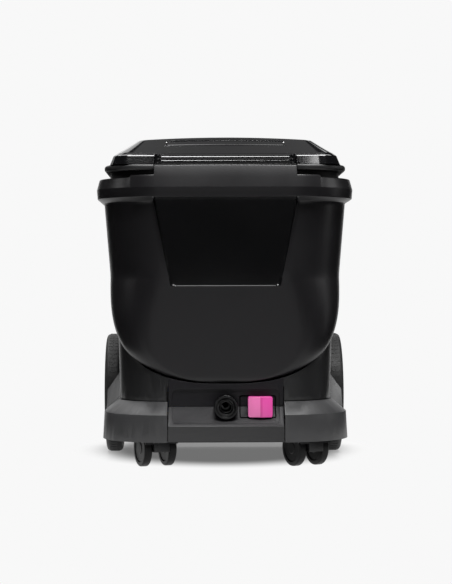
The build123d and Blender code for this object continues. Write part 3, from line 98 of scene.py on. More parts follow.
# Tone and gloss drift together in soft clouds, and a finer pattern stands in the bump
def shadeSurface(tree, output, cloud, pattern, tones, rough, drift, patternMicron, sockets):
    tone = addNode(tree, "ShaderNodeMix", {
        "Factor": cloud, colourA: linear(tones[0]), colourB: linear(tones[1])}, data_type="RGBA")
    gloss = addNode(tree, "ShaderNodeMapRange", {
        "Value": cloud, "From Min": noiseLow, "From Max": noiseHigh,
        "To Min": rough - drift, "To Max": rough + drift})
    bump = addNode(tree, "ShaderNodeBump", {
        "Height": pattern, "Distance": patternMicron * micron, "Strength": 1.0})
    surface = addNode(tree, "ShaderNodeBsdfPrincipled", {
        "Base Color": tone.outputs[2], "Roughness": gloss.outputs["Result"],
        "Normal": bump.outputs["Normal"], **sockets})
    tree.links.new(surface.outputs["BSDF"], output.inputs["Surface"])


# A moulded plastic or rubber: soft tone drift over a hand's width, tool grain in the bump and a little
# wander in the gloss; real grain is too fine to show, so it is drawn about a millimetre wide
def moulded(name, colour, tint, rough, drift, grainMm, grainMicron, cloudMm,
            ior=1.5, coat=0.0, coatRough=0.1):
    material, tree, output = newMaterial(name)
    place = addNode(tree, "ShaderNodeTexCoord").outputs["Object"]
    cloud = addNode(tree, "ShaderNodeTexNoise", {"Vector": place, "Scale": 1 / (cloudMm * mm), "Detail": 3.0})
    grain = addNode(tree, "ShaderNodeTexNoise", {"Vector": place, "Scale": 1 / (grainMm * mm), "Detail": 2.0})
    shadeSurface(tree, output, cloud.outputs["Fac"], grain.outputs["Fac"], (colour, tint), rough, drift,
                 grainMicron, {"IOR": ior, "Coat Weight": coat, "Coat Roughness": coatRough})
    return material


# A bare or plated metal: bright, with faint tool lines along one axis, coarser than life so that they show,
# and a thin dull film in patches
def metal(name, colour, tint, rough, drift, lineMm, lineMicron, cloudMm, stretch=8.0):
    material, tree, output = newMaterial(name)
    place = addNode(tree, "ShaderNodeTexCoord").outputs["Object"]
    cloud = addNode(tree, "ShaderNodeTexNoise", {"Vector": place, "Scale": 1 / (cloudMm * mm), "Detail": 4.0})
    along = addNode(tree, "ShaderNodeMapping", {"Vector": place, "Scale": (1.0, stretch, stretch)})
    lines = addNode(tree, "ShaderNodeTexNoise", {
        "Vector": along.outputs["Vector"], "Scale": 1 / (stretch * lineMm * mm)})
    shadeSurface(tree, output, cloud.outputs["Fac"], lines.outputs["Fac"], (colour, tint), rough, drift,
                 lineMicron, {"Metallic": 1.0})
    return material


# In order: two tones, roughness and its drift, grain or lines in mm and in microns, clouds in mm
finishes = {
    # blow-moulded polyethylene: waxy black with a broad soft sheen
    "tank_plastic": moulded("blowMouldedPolyethylene", "111012", "161517", 0.36, 0.03, 1.6, 14, 60, ior=1.44),
    # polished ABS: near-mirror black under a clear skin
    "lid_gloss": moulded("polishedABS", "08080A", "0B0B0C", 0.10, 0.02, 6.0, 0.8, 80,
                         ior=1.54, coat=0.5, coatRough=0.06),
    # spark-eroded ABS: even matte black
    "lid_matte": moulded("grainedABS", "161617", "1B1B1C", 0.50, 0.03, 0.9, 30, 50, ior=1.54),
    # grained polypropylene: charcoal with a dull sheen
    "base_plastic": moulded("grainedPolypropylene", "303031", "373738", 0.42, 0.03, 1.0, 26, 70, ior=1.49),
    # satin polypropylene: darker and smoother than the base
    "cradle_plastic": moulded("satinPolypropylene", "141415", "19191A", 0.36, 0.03, 1.2, 14, 70, ior=1.49),
    # satin ABS: dark grey front panel with a fine even grain
    "panel_plastic": moulded("satinABS", "232324", "29292A", 0.46, 0.03, 1.0, 18, 50),
    # glass-filled nylon: hard, slightly speckled black
    "coupler_plastic": moulded("glassFilledNylon", "070708", "0B0B0C", 0.20, 0.03, 0.7, 8, 12, ior=1.36),
    # pink ABS: bright and satin, with hardly any grain
    "switch_pink": moulded("pinkABS", "D04296", "D64A9C", 0.38, 0.02, 1.0, 8, 20, ior=1.54),
    # natural nylon: milky
    "nylon": moulded("naturalNylon", "C9C4B4", "D3CEC0", 0.45, 0.03, 1.0, 8, 15, ior=1.53),
    # nitrile rubber: dead black, faint bloom
    "seal_rubber": moulded("nitrileRubber", "121212", "1C1C1C", 0.62, 0.04, 0.8, 20, 12, ior=1.52),
    # tyre rubber: dry black with bloom
    "wheel_rubber": moulded("tyreRubber", "151515", "1E1E1E", 0.58, 0.05, 1.0, 30, 25, ior=1.52),
    # cast polyurethane: deep black tread with a soft shine
    "caster_tread": moulded("casterPolyurethane", "070708", "0B0B0C", 0.40, 0.04, 1.0, 16, 15, ior=1.28),
    # moulded polypropylene rim: dark grey satin
    "wheel_plastic": moulded("rimPolypropylene", "232324", "2B2B2C", 0.42, 0.04, 1.0, 16, 40, ior=1.49),
    # zinc-plated steel: pale silver, a little dull in patches
    "steel": metal("zincPlatedSteel", "B4B6B8", "9C9FA3", 0.30, 0.08, 0.8, 4, 10),
    # painted steel can: blue-grey enamel with a clear shine
    "motor_can": moulded("paintedSteelCan", "2E3236", "363B40", 0.35, 0.05, 1.2, 10, 20, coat=0.3),
    # die-cast aluminium: grey, with a coarse skin
    "pump_alloy": metal("dieCastAluminium", "A7A9AB", "8F9193", 0.45, 0.06, 1.5, 16, 14),
    # plain polypropylene of the inner mouldings: flat black
    "inner_plastic": moulded("innerPolypropylene", "121213", "18181A", 0.50, 0.04, 1.2, 18, 40, ior=1.49),
    # shrink film: blue and glossy, with slack waves
    "battery_wrap": moulded("shrinkFilm", "1F4E8C", "255795", 0.30, 0.05, 4.0, 30, 20, ior=1.55),
    # glass-epoxy board: green, with a trace of weave
    "board_laminate": moulded("glassEpoxyBoard", "1E5B36", "24663E", 0.38, 0.04, 0.8, 12, 10, ior=1.55),
    # turned brass: warm and bright
    "standoff_brass": metal("turnedBrass", "C9A24E", "B58F40", 0.28, 0.06, 0.6, 4, 8),
    # hose rubber: blue-black, half dull
    "hose_rubber": moulded("hoseRubber", "17181A", "202124", 0.50, 0.05, 1.2, 20, 12, ior=1.52),
}
# Second tones: the tub's polished panel, the slider's left side painted lighter as lit and its ridge painted
# darker as shade, steel outside, the panel's faces painted darker as shade
polishedTub = moulded("polishedPolyethylene", "0A0A0B", "0C0C0D", 0.14, 0.02, 3.0, 4, 60, ior=1.45)
litSidePink = moulded("paintedLightPinkABS", "D668A3", "DB70A9", 0.46, 0.02, 0.8, 14, 20)
shadedRidgePink = moulded("shadedPinkABS", "C23A88", "C8408E", 0.42, 0.02, 1.0, 8, 20)
blackSteel = metal("blackenedSteel", "1A1A1B", "242425", 0.45, 0.06, 0.8, 4, 10)
# Painted shade: a darker copy of the panel's ABS for the upper panel and the lower panel's leaning face
paintedShadePanel = moulded("paintedShadeSatinABS", "131215", "171619", 0.46, 0.03, 1.0, 16, 50, ior=1.3)
# Painted shade: a dead-black strip that stands for the shadow in the slider track's gap
shadeStrip = moulded("paintedShadeStrip", "030303", "060606", 0.85, 0.05, 0.8, 30, 10, ior=1.12)
print("finishes made:", len(finishes))


def addObject(name, data):
    thing = bpy.data.objects.new(name, data)
    bpy.context.collection.objects.link(thing)
    return thing


# Meshes from points in mm
def meshObject(name, points, faces, material, sharpAngle=40):
    mesh = bpy.data.meshes.new(name)
    mesh.from_pydata([(x * mm, y * mm, z * mm) for x, y, z in points], [], faces)
    shape = bmesh.new()
    shape.from_mesh(mesh)
    bmesh.ops.remove_doubles(shape, verts=shape.verts, dist=2 * micron)
    bmesh.ops.recalc_face_normals(shape, faces=shape.faces)
    shape.to_mesh(mesh)
    shape.free()
    mesh.shade_smooth()
    mesh.set_sharp_from_angle(angle=math.radians(sharpAngle))
    mesh.materials.append(material)
    return addObject(name, mesh)


# What the modifiers make becomes a plain mesh
def applyModifiers(piece):
    view = bpy.context.evaluated_depsgraph_get()
    piece.data = bpy.data.meshes.new_from_object(piece.evaluated_get(view))
    piece.modifiers.clear()


def settle(piece, nodes):
    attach(piece, frame["nodes"][nodes[0]]["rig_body"])
    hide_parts(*nodes)


def mix(a, b, share):
    return a + (b - a) * share


def clamp(value):
    return min(1.0, max(0.0, value))


def ease(value):
    value = clamp(value)
    return value * value * (3 - 2 * value)


# Stations from 0 outwards: each stop is (x, steps from the stop before)
def spread(stops):
    stations = [0.0]
    for x, steps in stops:
        last = stations[-1]
        stations += [last + (x - last) * (k + 1) / steps for k in range(steps)]
    return stations


# The right half of a rounded rectangle from front middle to back middle
# sizeAt gives each column its own half sizes and corner
def halfPlan(stations, sizeAt, turnSteps=8, sideSteps=8, backTurn=12, backSteps=8):
    points = []

    def flats():
        halfX, halfY, corner = sizeAt(len(points))
        return halfX - corner, halfY - corner, corner

    for x in stations:
        flatX, flatY, corner = flats()
        over = min(max(0.0, x - flatX), corner)
        points.append((x, -flatY - math.sqrt(corner**2 - over**2)))
    flatX, flatY, corner = flats()
    start = math.asin(clamp((stations[-1] - flatX) / corner))
    for k in range(1, turnSteps + 1):
        flatX, flatY, corner = flats()
        turn = start + (math.pi / 2 - start) * k / turnSteps
        points.append((flatX + corner * math.sin(turn), -flatY - corner * math.cos(turn)))
    for k in range(1, sideSteps + 1):
        halfX, flatY = sizeAt(len(points))[0], flats()[1]
        points.append((halfX, -flatY + 2 * flatY * k / sideSteps))
    for k in range(1, backTurn + 1):
        flatX, flatY, corner = flats()
        turn = math.pi / 2 * k / backTurn
        points.append((flatX + corner * math.cos(turn), flatY + corner * math.sin(turn)))
    for k in range(1, backSteps + 1):
        flatX, halfY = flats()[0], sizeAt(len(points))[1]
        points.append((flatX * (1 - k / backSteps), halfY))
    return points


def wholeRing(half):
    return half + [(-p[0],) + tuple(p[1:]) for p in half[-2:0:-1]]


# How far across a front corner is half turned
def cornerTurn(size):
    return size[0] - size[2] + size[2] * math.sin(math.pi / 4)


def loft(rows, capFirst=True, capLast=True):
    count = len(rows[0])
    points = [p for row in rows for p in row]
    faces = []
    for r in range(len(rows) - 1):
        for c in range(count):
            n = (c + 1) % count
            faces.append((r * count + c, r * count + n, (r + 1) * count + n, (r + 1) * count + c))
    if capFirst:
        faces.append(tuple(range(count)))
    if capLast:
        faces.append(tuple(range((len(rows) - 1) * count, len(rows) * count)))
    return points, faces


# A polyline in a plane with its inner corners rounded; corners are (a, b, radius)
def roundPath(corners, steps=4, mostReach=0.48):
    path = [corners[0][:2]]
    for before, here, after in zip(corners, corners[1:], corners[2:]):
        p, q, s = Vector(before[:2]), Vector(here[:2]), Vector(after[:2])
        toP, toS = (p - q), (s - q)
        half = toP.angle(toS) / 2
        reach = min(here[2] / math.tan(half), mostReach * toP.length, mostReach * toS.length)
        first, last = q + toP.normalized() * reach, q + toS.normalized() * reach
        for k in range(steps + 1):
            t = k / steps
            path.append(tuple(first * (1 - t) ** 2 + q * 2 * t * (1 - t) + last * t**2))
    path.append(corners[-1][:2])
    return path


# A visible CAD node with its edges rounded, as a moulding's are
def dressNode(node, slot, width=0.8, steps=2, angle=32, material=None, reshape=None):
    mesh = frame["nodes"][node].data.copy()
    shape = bmesh.new()
    shape.from_mesh(mesh)
    bmesh.ops.remove_doubles(shape, verts=shape.verts, dist=micron)
    bmesh.ops.dissolve_limit(shape, angle_limit=math.radians(1.0), verts=shape.verts, edges=shape.edges)
    if reshape:
        reshape(shape)
    shape.to_mesh(mesh)
    shape.free()
    mesh.materials.clear()
    mesh.materials.append(material or finishes[slot])
    mesh.shade_smooth()
    piece = addObject("dressed_" + node, mesh)
    bevel = piece.modifiers.new("edges", "BEVEL")
    bevel.width = width * mm
    bevel.segments = steps
    bevel.limit_method = "ANGLE"
    bevel.angle_limit = math.radians(angle)
    bevel.harden_normals = True
    applyModifiers(piece)
    settle(piece, [node])
    return piece


# Tank: wall, rim, front lip, leaning front panel, mouth and inside in one skin
tank = {
    "floor": 116.2, "keel": 114.0, "belly": 260.0, "top": 391.4, "wall": 4.0,
    "halfX": 169.3, "halfY": 150.9, "draftX": 10.4, "draftY": 7.9, "corner": 80.0, "footCorner": 24.0,
    "powerX": 2.9, "powerY": 48.0, "leastFlat": 8.0, "bowlRows": 26, "bowlTurn": 138.0,
    "underRim": (354.0, 358.2), "flareZ": 358.6, "footZ": 359.5, "edgeZ": 365.0, "edgeOut": 6.7,
    "edgeLow": 0.8, "creaseZ": 377.5, "creaseOut": 7.7, "topOut": 4.1,
    "shelfIn": 6.3, "mouthIn": 17.3, "mouthDeep": 8.0, "mouthRound": 2.0, "innerStep": 16,
    "lipX": 95.0, "lipHigh": 16.6, "lipArch": 1.2, "lipThick": 5.0, "lipFoot": -1.7, "lipSide": 0.8,
    "lipRound": 1.5, "leastLip": 0.3,
    "stepX": 128.0, "stepHigh": 3.0, "stepSide": 0.9, "stepSpan": 1.2, "stepShares": (0.888, 0.896),
    "panelTopX": 95.0, "panelLowX": 71.0, "panelLowZ": 246.0, "panelTopZ": 368.0,
    "panelLean": 0.981,  # cosine of the lean of the panel's sides
    "panelSink": 2.0, "panelShy": 0.3, "panelCorner": 6.0, "panelSide": 5.0, "panelSill": 1.6,
    "panelRows": (244.0, 244.7, 245.3, 246.0, 247.0, 248.2, 249.6, 251.2, 253.0, *range(257, 355, 7)),
}


def tankSize(z, grow=0.0):
    drop = max(0.0, (tank["belly"] - z) / (tank["belly"] - tank["keel"]))
    rise = max(0.0, (z - tank["belly"]) / (tank["top"] - tank["belly"]))
    widthX = (1 - drop ** tank["powerX"]) ** (1 / tank["powerX"])
    widthY = (1 - drop ** tank["powerY"]) ** (1 / tank["powerY"])
    halfX = (tank["halfX"] - tank["draftX"] * (1 - rise)) * widthX + grow
    halfY = (tank["halfY"] - tank["draftY"] * (1 - rise)) * widthY + grow
    corner = mix(tank["corner"], tank["footCorner"], drop) + grow
    return halfX, halfY, min(corner, halfX - tank["leastFlat"])


def rimSize(out):
    return tank["halfX"] + out, tank["halfY"] + out, tank["corner"] + out


def panelEdge(z):
    share = (z - tank["panelLowZ"]) / (tank["panelTopZ"] - tank["panelLowZ"])
    return mix(tank["panelLowX"], tank["panelTopX"], clamp(share))


# Columns across the front, close together at the panel's edge and at the lip's two steps
def tankStations(z, size):
    turnX = cornerTurn(size)
    onRim = z >= tank["edgeZ"]
    if z < tank["panelLowZ"] - 2:
        edge = turnX * tank["panelLowX"] / tank["bowlTurn"]
        side = turnX * tank["panelSide"] / tank["bowlTurn"]
    else:
        edge = panelEdge(z)
        side = tank["stepSpan"] if onRim else tank["panelSide"]
    if onRim:
        stepIn, stepOut = tank["stepX"] - tank["stepSpan"] / 2, tank["stepX"] + tank["stepSpan"] / 2
    else:
        stepIn, stepOut = (share * turnX for share in tank["stepShares"])
    return spread([(edge - 6, 10), (edge, 8), (edge + side, 6), (stepIn, 7), (stepOut, 3), (turnX, 4)])


# 1 on the panel and 0 off it, with soft sides, a crisp sill and round lower corners
def panelShare(x, z):
    inSide = (panelEdge(z) - x) * tank["panelLean"]
    inLow = z - tank["panelLowZ"]
    corner = tank["panelCorner"]
    if inSide < corner and inLow < corner:
        inside = corner - math.hypot(corner - inSide, corner - inLow)
    else:
        inside = min(inSide, inLow)
    span = tank["panelSide"] if inSide < inLow else tank["panelSill"]
    return ease(1 + inside / span)


def panelY(z):
    low = tank["halfY"] - tank["draftY"] - tank["panelSink"]
    high = tank["halfY"] + tank["edgeOut"] - tank["panelShy"]
    return -mix(low, high, (z - tank["panelLowZ"]) / (tank["edgeZ"] - tank["panelLowZ"]))


def tankRow(z, size, panel=False):
    row = []
    stations = tankStations(z, size)
    for index, (x, y) in enumerate(halfPlan(stations, lambda column: size)):
        if panel and index < len(stations):
            y = mix(y, panelY(z), panelShare(x, z))
        row.append((x, y + middleY, z))
    return wholeRing(row)


# The lip drops to a low step just past lipX, and to the plain rim at stepX
def lipHeight(x):
    peak = tank["lipHigh"] - tank["lipArch"] * (x / tank["lipX"]) ** 2
    step = tank["stepHigh"] * ease((tank["stepX"] + 0.5 - x) / tank["stepSide"])
    return mix(step, peak, ease((tank["lipX"] + 1.0 - x) / tank["lipSide"]))


# Points over the top of the rim for a lip of one height: outer face, rounded top, inner face, foot
def lipPath(height):
    if height < tank["leastLip"]:
        edge = [(tank["topOut"] + 0.1 - 0.1 * k**1.6, tank["top"] - 1.2 + 0.4 * k) for k in range(4)]
        flat = [(mix(tank["topOut"] - 0.8, tank["lipFoot"], k / 8), tank["top"]) for k in range(9)]
        return edge + flat
    lean = (tank["creaseOut"] - tank["topOut"]) / (tank["top"] - tank["creaseZ"])
    outer = tank["topOut"] - lean * height
    peak = tank["top"] + height
    curve = min(tank["lipRound"], height * 0.45)
    corners = [(tank["topOut"], tank["top"], 0), (outer, peak, curve),
               (outer - tank["lipThick"], peak, curve), (tank["topOut"] - tank["lipThick"], tank["top"], 0.6),
               (tank["lipFoot"] - 0.6, tank["top"], 0)]
    return roundPath(corners, 3)[:12] + [(tank["lipFoot"], tank["top"])]


# Heights of the bowl's rows, from its floor up towards the belly
def bowlLevels(floor):
    turns = [math.pi / 2 * k / tank["bowlRows"] for k in range(tank["bowlRows"])]
    return [tank["belly"] - (tank["belly"] - floor) * math.cos(turn) for turn in turns]


# Wall from the floor up to the rim's lower edge, then the rim's outer face
def tankOutside():
    rows = [tankRow(z, tankSize(z)) for z in bowlLevels(tank["floor"]) if z < tank["panelLowZ"] - 2.5]
    rows += [tankRow(z, tankSize(z), True) for z in tank["panelRows"] + tank["underRim"]]
    foot, edge = tankSize(tank["footZ"]), rimSize(tank["edgeOut"])
    flare = roundPath([(0.0, tank["flareZ"], 0), (0.08, tank["footZ"], 2.0), (1.0, tank["edgeZ"], 1.2)])
    for share, z in flare[1:-1]:
        rows.append(tankRow(z, tuple(mix(a, b, share) for a, b in zip(foot, edge)), True))
    edgeLow = tank["edgeZ"] - tank["edgeLow"]
    rim = roundPath([
        (mix(foot[0] - tank["halfX"], tank["edgeOut"], 0.86), edgeLow, 0),
        (tank["edgeOut"], tank["edgeZ"], 1.2), (tank["creaseOut"], tank["creaseZ"], 3.0),
        (tank["topOut"], tank["top"], 0)])
    return rows + [tankRow(z, rimSize(out), z < edgeLow) for out, z in rim[1:-1]]


# Over the rim, whose front carries the lip
def tankTop():
    rows = []
    stations = tankStations(tank["top"], rimSize(tank["topOut"]))
    paths = [lipPath(lipHeight(x)) for x in stations]
    plainPath = lipPath(0.0)
    for step in range(len(plainPath)):
        def pathAt(column):
            return paths[column][step] if column < len(paths) else plainPath[step]
        half = halfPlan(stations, lambda column: rimSize(pathAt(column)[0]))
        rows.append(wholeRing([(x, y + middleY, pathAt(i)[1]) for i, (x, y) in enumerate(half)]))
    return rows


# Down through the mouth and along the inside to the floor
def tankInside():
    low = tank["top"] - tank["mouthDeep"]
    mouth = roundPath([
        (-tank["shelfIn"], tank["top"], 0), (-tank["mouthIn"], tank["top"], tank["mouthRound"]),
        (-tank["mouthIn"], low, tank["mouthRound"]), (-tank["wall"] - 1.0, low, 0)])
    levels = [low - 12 - k * tank["innerStep"] for k in range(7)]
    for z in reversed(bowlLevels(tank["floor"] + tank["wall"])):
        if z < levels[-1] - 3:
            levels.append(z)
    return [tankRow(z, rimSize(out)) for out, z in mouth] + \
        [tankRow(z, tankSize(z, -tank["wall"])) for z in levels]


def makeTank():
    points, faces = loft(tankOutside() + tankTop() + tankInside())
    piece = meshObject("tankTub", points, faces, finishes["tank_plastic"])
    piece.data.materials.append(polishedTub)
    for face in piece.data.polygons:
        x, y, z = (v / mm for v in face.center)
        inHeight = tank["panelLowZ"] - 1 < z < tank["edgeZ"]
        if y < middleY - 100 and inHeight and abs(x) < panelEdge(z) + 3:
            face.material_index = 1
    settle(piece, ["tank"])
    print("tank made:", len(faces), "faces")


makeTank()


# Lid cover: notched front, upright band, four slopes with a finger groove, arched top
lid = {
    "halfX": 156.2, "halfY": 148.0, "corner": 24.0, "topCorner": 12.0, "lowZ": 409.0, "topZ": 448.0,
    "bandIn": 5.0, "bandHigh": 12.0, "bandRound": 4.0, "slopeIn": 31.0, "slopeHigh": 25.6,
    "arch": 4.0, "archStart": 4.0, "topRound": 4.5, "topFlat": 14.0, "topRings": 12, "rowStep": 0.4,
    "notchX": 96.5, "notchDeep": 7.0, "notchRound": 4.5,
    "grooveX": 80.0, "grooveWide": 6.0, "grooveZ": 440.4, "grooveDeep": 1.12, "grooveWall": 2.6,
    "grooveBack": 0.64, "grooveDown": 0.3,
    "slotX": 90.0, "slots": ((420.4, 0.93, 1.5), (415.0, 0.79, 1.3)),  # height, depth, half width
    "seamZ": 411.4, "seamDeep": 1.2, "seamWall": 1.6,
    "fieldX": 84.0, "fieldDeep": 0.5, "fieldUnder": 4.0, "fieldWall": 2.0, "sharpAngle": 45,
}
lidTopX = lid["halfX"] - lid["bandIn"] - lid["slopeIn"]
lid["archRadius"] = (lidTopX**2 + lid["arch"] ** 2) / (2 * lid["arch"])


def archZ(x):
    return lid["topZ"] - x * x / (2 * lid["archRadius"])


def lidSize(inset):
    share = clamp((inset - lid["bandIn"]) / lid["slopeIn"])
    corner = mix(lid["corner"] - min(inset, lid["bandIn"]), lid["topCorner"], share)
    return lid["halfX"] - inset, lid["halfY"] - inset, corner


# Columns across the front, close together at the groove's end and at the notch's side
def lidStations(size):
    return spread([(lid["grooveX"] - 6, 8), (lid["fieldX"], 12), (lid["notchX"] - 2, 6),
                   (lid["notchX"] + lid["notchRound"], 9), (cornerTurn(size), 6)])


# 1 inside the front notch, 0 outside, with a quarter round at its side
def notchShare(x):
    past = clamp((x - lid["notchX"] + lid["notchRound"] * 0.3) / lid["notchRound"])
    return 1 - math.sqrt(1 - (1 - past) ** 2) if past > 0 else 1.0


# Two soft slots run along the notch's face above a sunk seam
def slotSink(z):
    slots = sum(deep * math.exp(-((z - middle) / wide) ** 2) for middle, deep, wide in lid["slots"])
    return slots + lid["seamDeep"] * ease((lid["seamZ"] + lid["seamWall"] / 2 - z) / lid["seamWall"])


def lidRow(inset, z):
    size = lidSize(inset)
    stations = lidStations(size)
    low = lid["lowZ"] + lid["bandHigh"] + lid["archStart"]
    fieldTop = lid["grooveZ"] - lid["fieldUnder"]
    row = []
    for index, (x, y) in enumerate(halfPlan(stations, lambda column: size, turnSteps=7)):
        high = z
        if z > low:  # the slope meets the arch lower down at the sides
            high = low + (z - low) * (archZ(x) - low) / (lid["topZ"] - low)
        if index < len(stations):
            front = -lid["halfY"] + lid["notchDeep"] * notchShare(x)
            if front > y - 0.4:
                y = max(y, front) + slotSink(high) * ease((lid["slotX"] - x) / 2.5)
            elif high < fieldTop:
                inX, inZ = (lid["fieldX"] - x) / lid["fieldWall"], (fieldTop - high) / lid["fieldWall"]
                y += lid["fieldDeep"] * (ease(inX) * ease(inZ))
            away = max(0.0, x - (lid["grooveX"] - lid["grooveWide"] / 2))
            inside = lid["grooveWide"] / 2 - math.hypot(away, z - lid["grooveZ"])
            sink = lid["grooveDeep"] * ease(0.5 + inside / lid["grooveWall"])
            y, high = y + sink * lid["grooveBack"], high - sink * lid["grooveDown"]
        row.append((x, y + middleY, high))
    return wholeRing(row)


def makeLidCover():
    band = lid["lowZ"] + lid["bandHigh"]
    slopeRise = lid["slopeHigh"] / lid["slopeIn"]
    topIn = lid["bandIn"] + lid["slopeIn"] + (lid["topZ"] - band - lid["slopeHigh"]) / slopeRise
    path = roundPath([
        (0.0, lid["lowZ"], 0), (lid["bandIn"], band, lid["bandRound"]),
        (topIn, lid["topZ"], lid["topRound"]), (topIn + lid["topFlat"], lid["topZ"], 0)], 5)
    fine = []
    for a, b in zip(path, path[1:]):
        steps = max(1, round(math.hypot(b[0] - a[0], b[1] - a[1]) / lid["rowStep"]))
        fine += [(mix(a[0], b[0], k / steps), mix(a[1], b[1], k / steps)) for k in range(steps)]
    rows = [lidRow(inset, z) for inset, z in fine + [path[-1]]]
    rim = rows[-1]
    for k in range(1, lid["topRings"]):  # rings shrink towards the middle of the arched top
        share = 1 - k / lid["topRings"]
        rows.append([(x * share, middleY + (y - middleY) * share, archZ(x * share)) for x, y, z in rim])
    points, faces = loft(rows, True, False)
    count = len(rim)
    points.append((0.0, middleY, lid["topZ"]))
    last = (len(rows) - 1) * count
    faces += [(last + c, last + (c + 1) % count, len(points) - 1) for c in range(count)]
    piece = meshObject("lidCover", points, faces, finishes["lid_gloss"], lid["sharpAngle"])
    settle(piece, ["lid_cover"])
    print("lid cover made:", len(faces), "faces")


makeLidCover()


# The other mouldings keep their CAD form with moulded edges: slot, and the edge's round in mm
dressed = {
    "lid_pan": ("lid_matte", 0.6), "base_shell": ("base_plastic", 1.2), "cradle": ("cradle_plastic", 0.8),
    "front_panel_lower": ("panel_plastic", 0.6), "outlet_coupler": ("coupler_plastic", 0.4),
    "caster_hood_left": ("inner_plastic", 0.6), "caster_hood_right": ("inner_plastic", 0.6),
    "rear_rim_left": ("wheel_plastic", 0.8), "rear_rim_right": ("wheel_plastic", 0.8),
    "base_plate": ("inner_plastic", 0.5), "outlet_ring": ("coupler_plastic", 0.3),
    "hub_cap_left": ("wheel_plastic", 0.6), "hub_cap_right": ("wheel_plastic", 0.6),
}
made = {node: dressNode(node, slot, width) for node, (slot, width) in dressed.items()}
# The upper panel takes painted shade
made["front_panel_upper"] = dressNode("front_panel_upper", "panel_plastic", 0.5, material=paintedShadePanel)
print("mouldings dressed:", len(made))


# Switch: a track in the lower panel with a dead-black strip round it as painted shade, and a slider with a
# ridge across it
switch = {
    "trackX": 42.65, "trackZ": 83.0, "trackWide": 49.3, "trackHigh": 30.0, "trackCorner": 3.0, "floor": 3.0,
    "strip": 1.6, "stripGap": 0.05, "stripProud": 0.15, "stripSunk": 0.1,
    "wallY": -160.5, "footY": -184.0, "creaseZ": 58.0,
    "ridge": 0.54, "groove": 1.5, "edge": 0.9, "corner": 2.6, "near": 0.05,
}


# The track's floor follows the panel's face, which leans out below the split
def trackFloorY(z):
    lean = clamp((switch["trackZ"] - z) / (switch["trackZ"] - switch["creaseZ"]))
    return mix(switch["wallY"], switch["footY"], lean) + switch["floor"]


def trackRing(inset, proud):
    halfX, halfZ = switch["trackWide"] / 2 - inset, switch["trackHigh"] / 2 - inset
    corner = max(0.4, switch["trackCorner"] - inset)
    ring = []
    for quarter, (sideX, sideZ) in enumerate(((1, 1), (-1, 1), (-1, -1), (1, -1))):
        for k in range(7):
            turn = math.pi / 2 * (quarter + k / 6)
            ring.append((sideX * (halfX - corner) + corner * math.cos(turn),
                         sideZ * (halfZ - corner) + corner * math.sin(turn)))
        if sideX != sideZ:  # a point half way up each end, where the floor starts to lean
            ring.append((sideX * halfX, 0.0))
    return [(switch["trackX"] + x, trackFloorY(switch["trackZ"] + z) - proud, switch["trackZ"] + z)
            for x, z in ring]


def makeTrackShade():
    gap, wide, proud, sunk = (switch[key] for key in ("stripGap", "strip", "stripProud", "stripSunk"))
    rings = [trackRing(gap, -sunk), trackRing(gap, proud), trackRing(wide, proud), trackRing(wide, -sunk)]
    points, faces = loft(rings + rings[:1], False, False)
    seal = meshObject("trackShadeStrip", points, faces, shadeStrip)
    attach(seal, frame["nodes"]["front_panel_lower"]["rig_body"])


# The leaning face of the lower panel gets painted shade: a darker copy of the panel's ABS
def shadePanelSlope():
    panel = made["front_panel_lower"].data
    panel.materials.append(paintedShadePanel)
    for face in panel.polygons:
        if face.center.z / mm > switch["creaseZ"] + 0.2 and face.normal.y < -0.2:
            face.material_index = 1


# The slider's four long corners are rounded and its ridge is a flat strip; its left side is painted lighter
# as lit, its ridge strip darker as shade
def makeSlider():
    low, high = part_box("switch_slider")
    ridgeX = mix(low[0], high[0], switch["ridge"])
    near = switch["near"] * mm

    def atCorner(vert):
        nearX = min(abs(vert.co.x - low[0]), abs(vert.co.x - high[0]))
        nearZ = min(abs(vert.co.z - low[2]), abs(vert.co.z - high[2]))
        return max(nearX, nearZ) < near

    def runsBack(edge):
        return abs(edge.verts[0].co.y - edge.verts[1].co.y) > 0.9 * edge.calc_length()

    def bevelEdges(shape, edges, width, steps):
        bmesh.ops.bevel(shape, geom=edges, offset=width * mm, offset_type="OFFSET", segments=steps,
                        profile=0.5, affect="EDGES")

    def roundSlider(shape):
        corners = [edge for edge in shape.edges
                   if all(atCorner(vert) for vert in edge.verts) and runsBack(edge)]
        bevelEdges(shape, corners, switch["corner"], 5)
        ridge = [edge for edge in shape.edges
                 if all(abs(vert.co.x - ridgeX) < near for vert in edge.verts)]
        bevelEdges(shape, ridge, switch["groove"], 1)

    slider = dressNode("switch_slider", "switch_pink", switch["edge"], 3, reshape=roundSlider).data
    # Painted light on the left face and painted shade on the ridge strip
    slider.materials.append(litSidePink)
    slider.materials.append(shadedRidgePink)
    for face in slider.polygons:
        if face.normal.y < -0.3 and abs(face.center.x - ridgeX) < switch["groove"] * mm:
            face.material_index = 2
        elif face.normal.y < -0.3 and face.center.x < ridgeX:
            face.material_index = 1


makeTrackShade()
shadePanelSlope()
makeSlider()
print("switch made")


# A turned piece from a closed profile of (radius, along) in mm, about an axis through a centre
def turned(name, profile, centre, axis, slot, nodes, steps=96, sharpAngle=35):
    along = Vector(axis).normalized()
    across = Vector((0, 0, 1)).cross(along).normalized()
    points = []
    for k in range(steps):
        turn = 2 * math.pi * k / steps
        out = across * math.cos(turn) + Vector((0, 0, 1)) * math.sin(turn)
        points += [tuple(Vector(centre) + out * radius + along * far) for radius, far in profile]
    count = len(profile)
    faces = []
    for k in range(steps):
        n = (k + 1) % steps
        for c in range(count - 1):
            faces.append((k * count + c, k * count + c + 1, n * count + c + 1, n * count + c))
    piece = meshObject(name, points, faces, finishes[slot], sharpAngle)
    settle(piece, nodes)


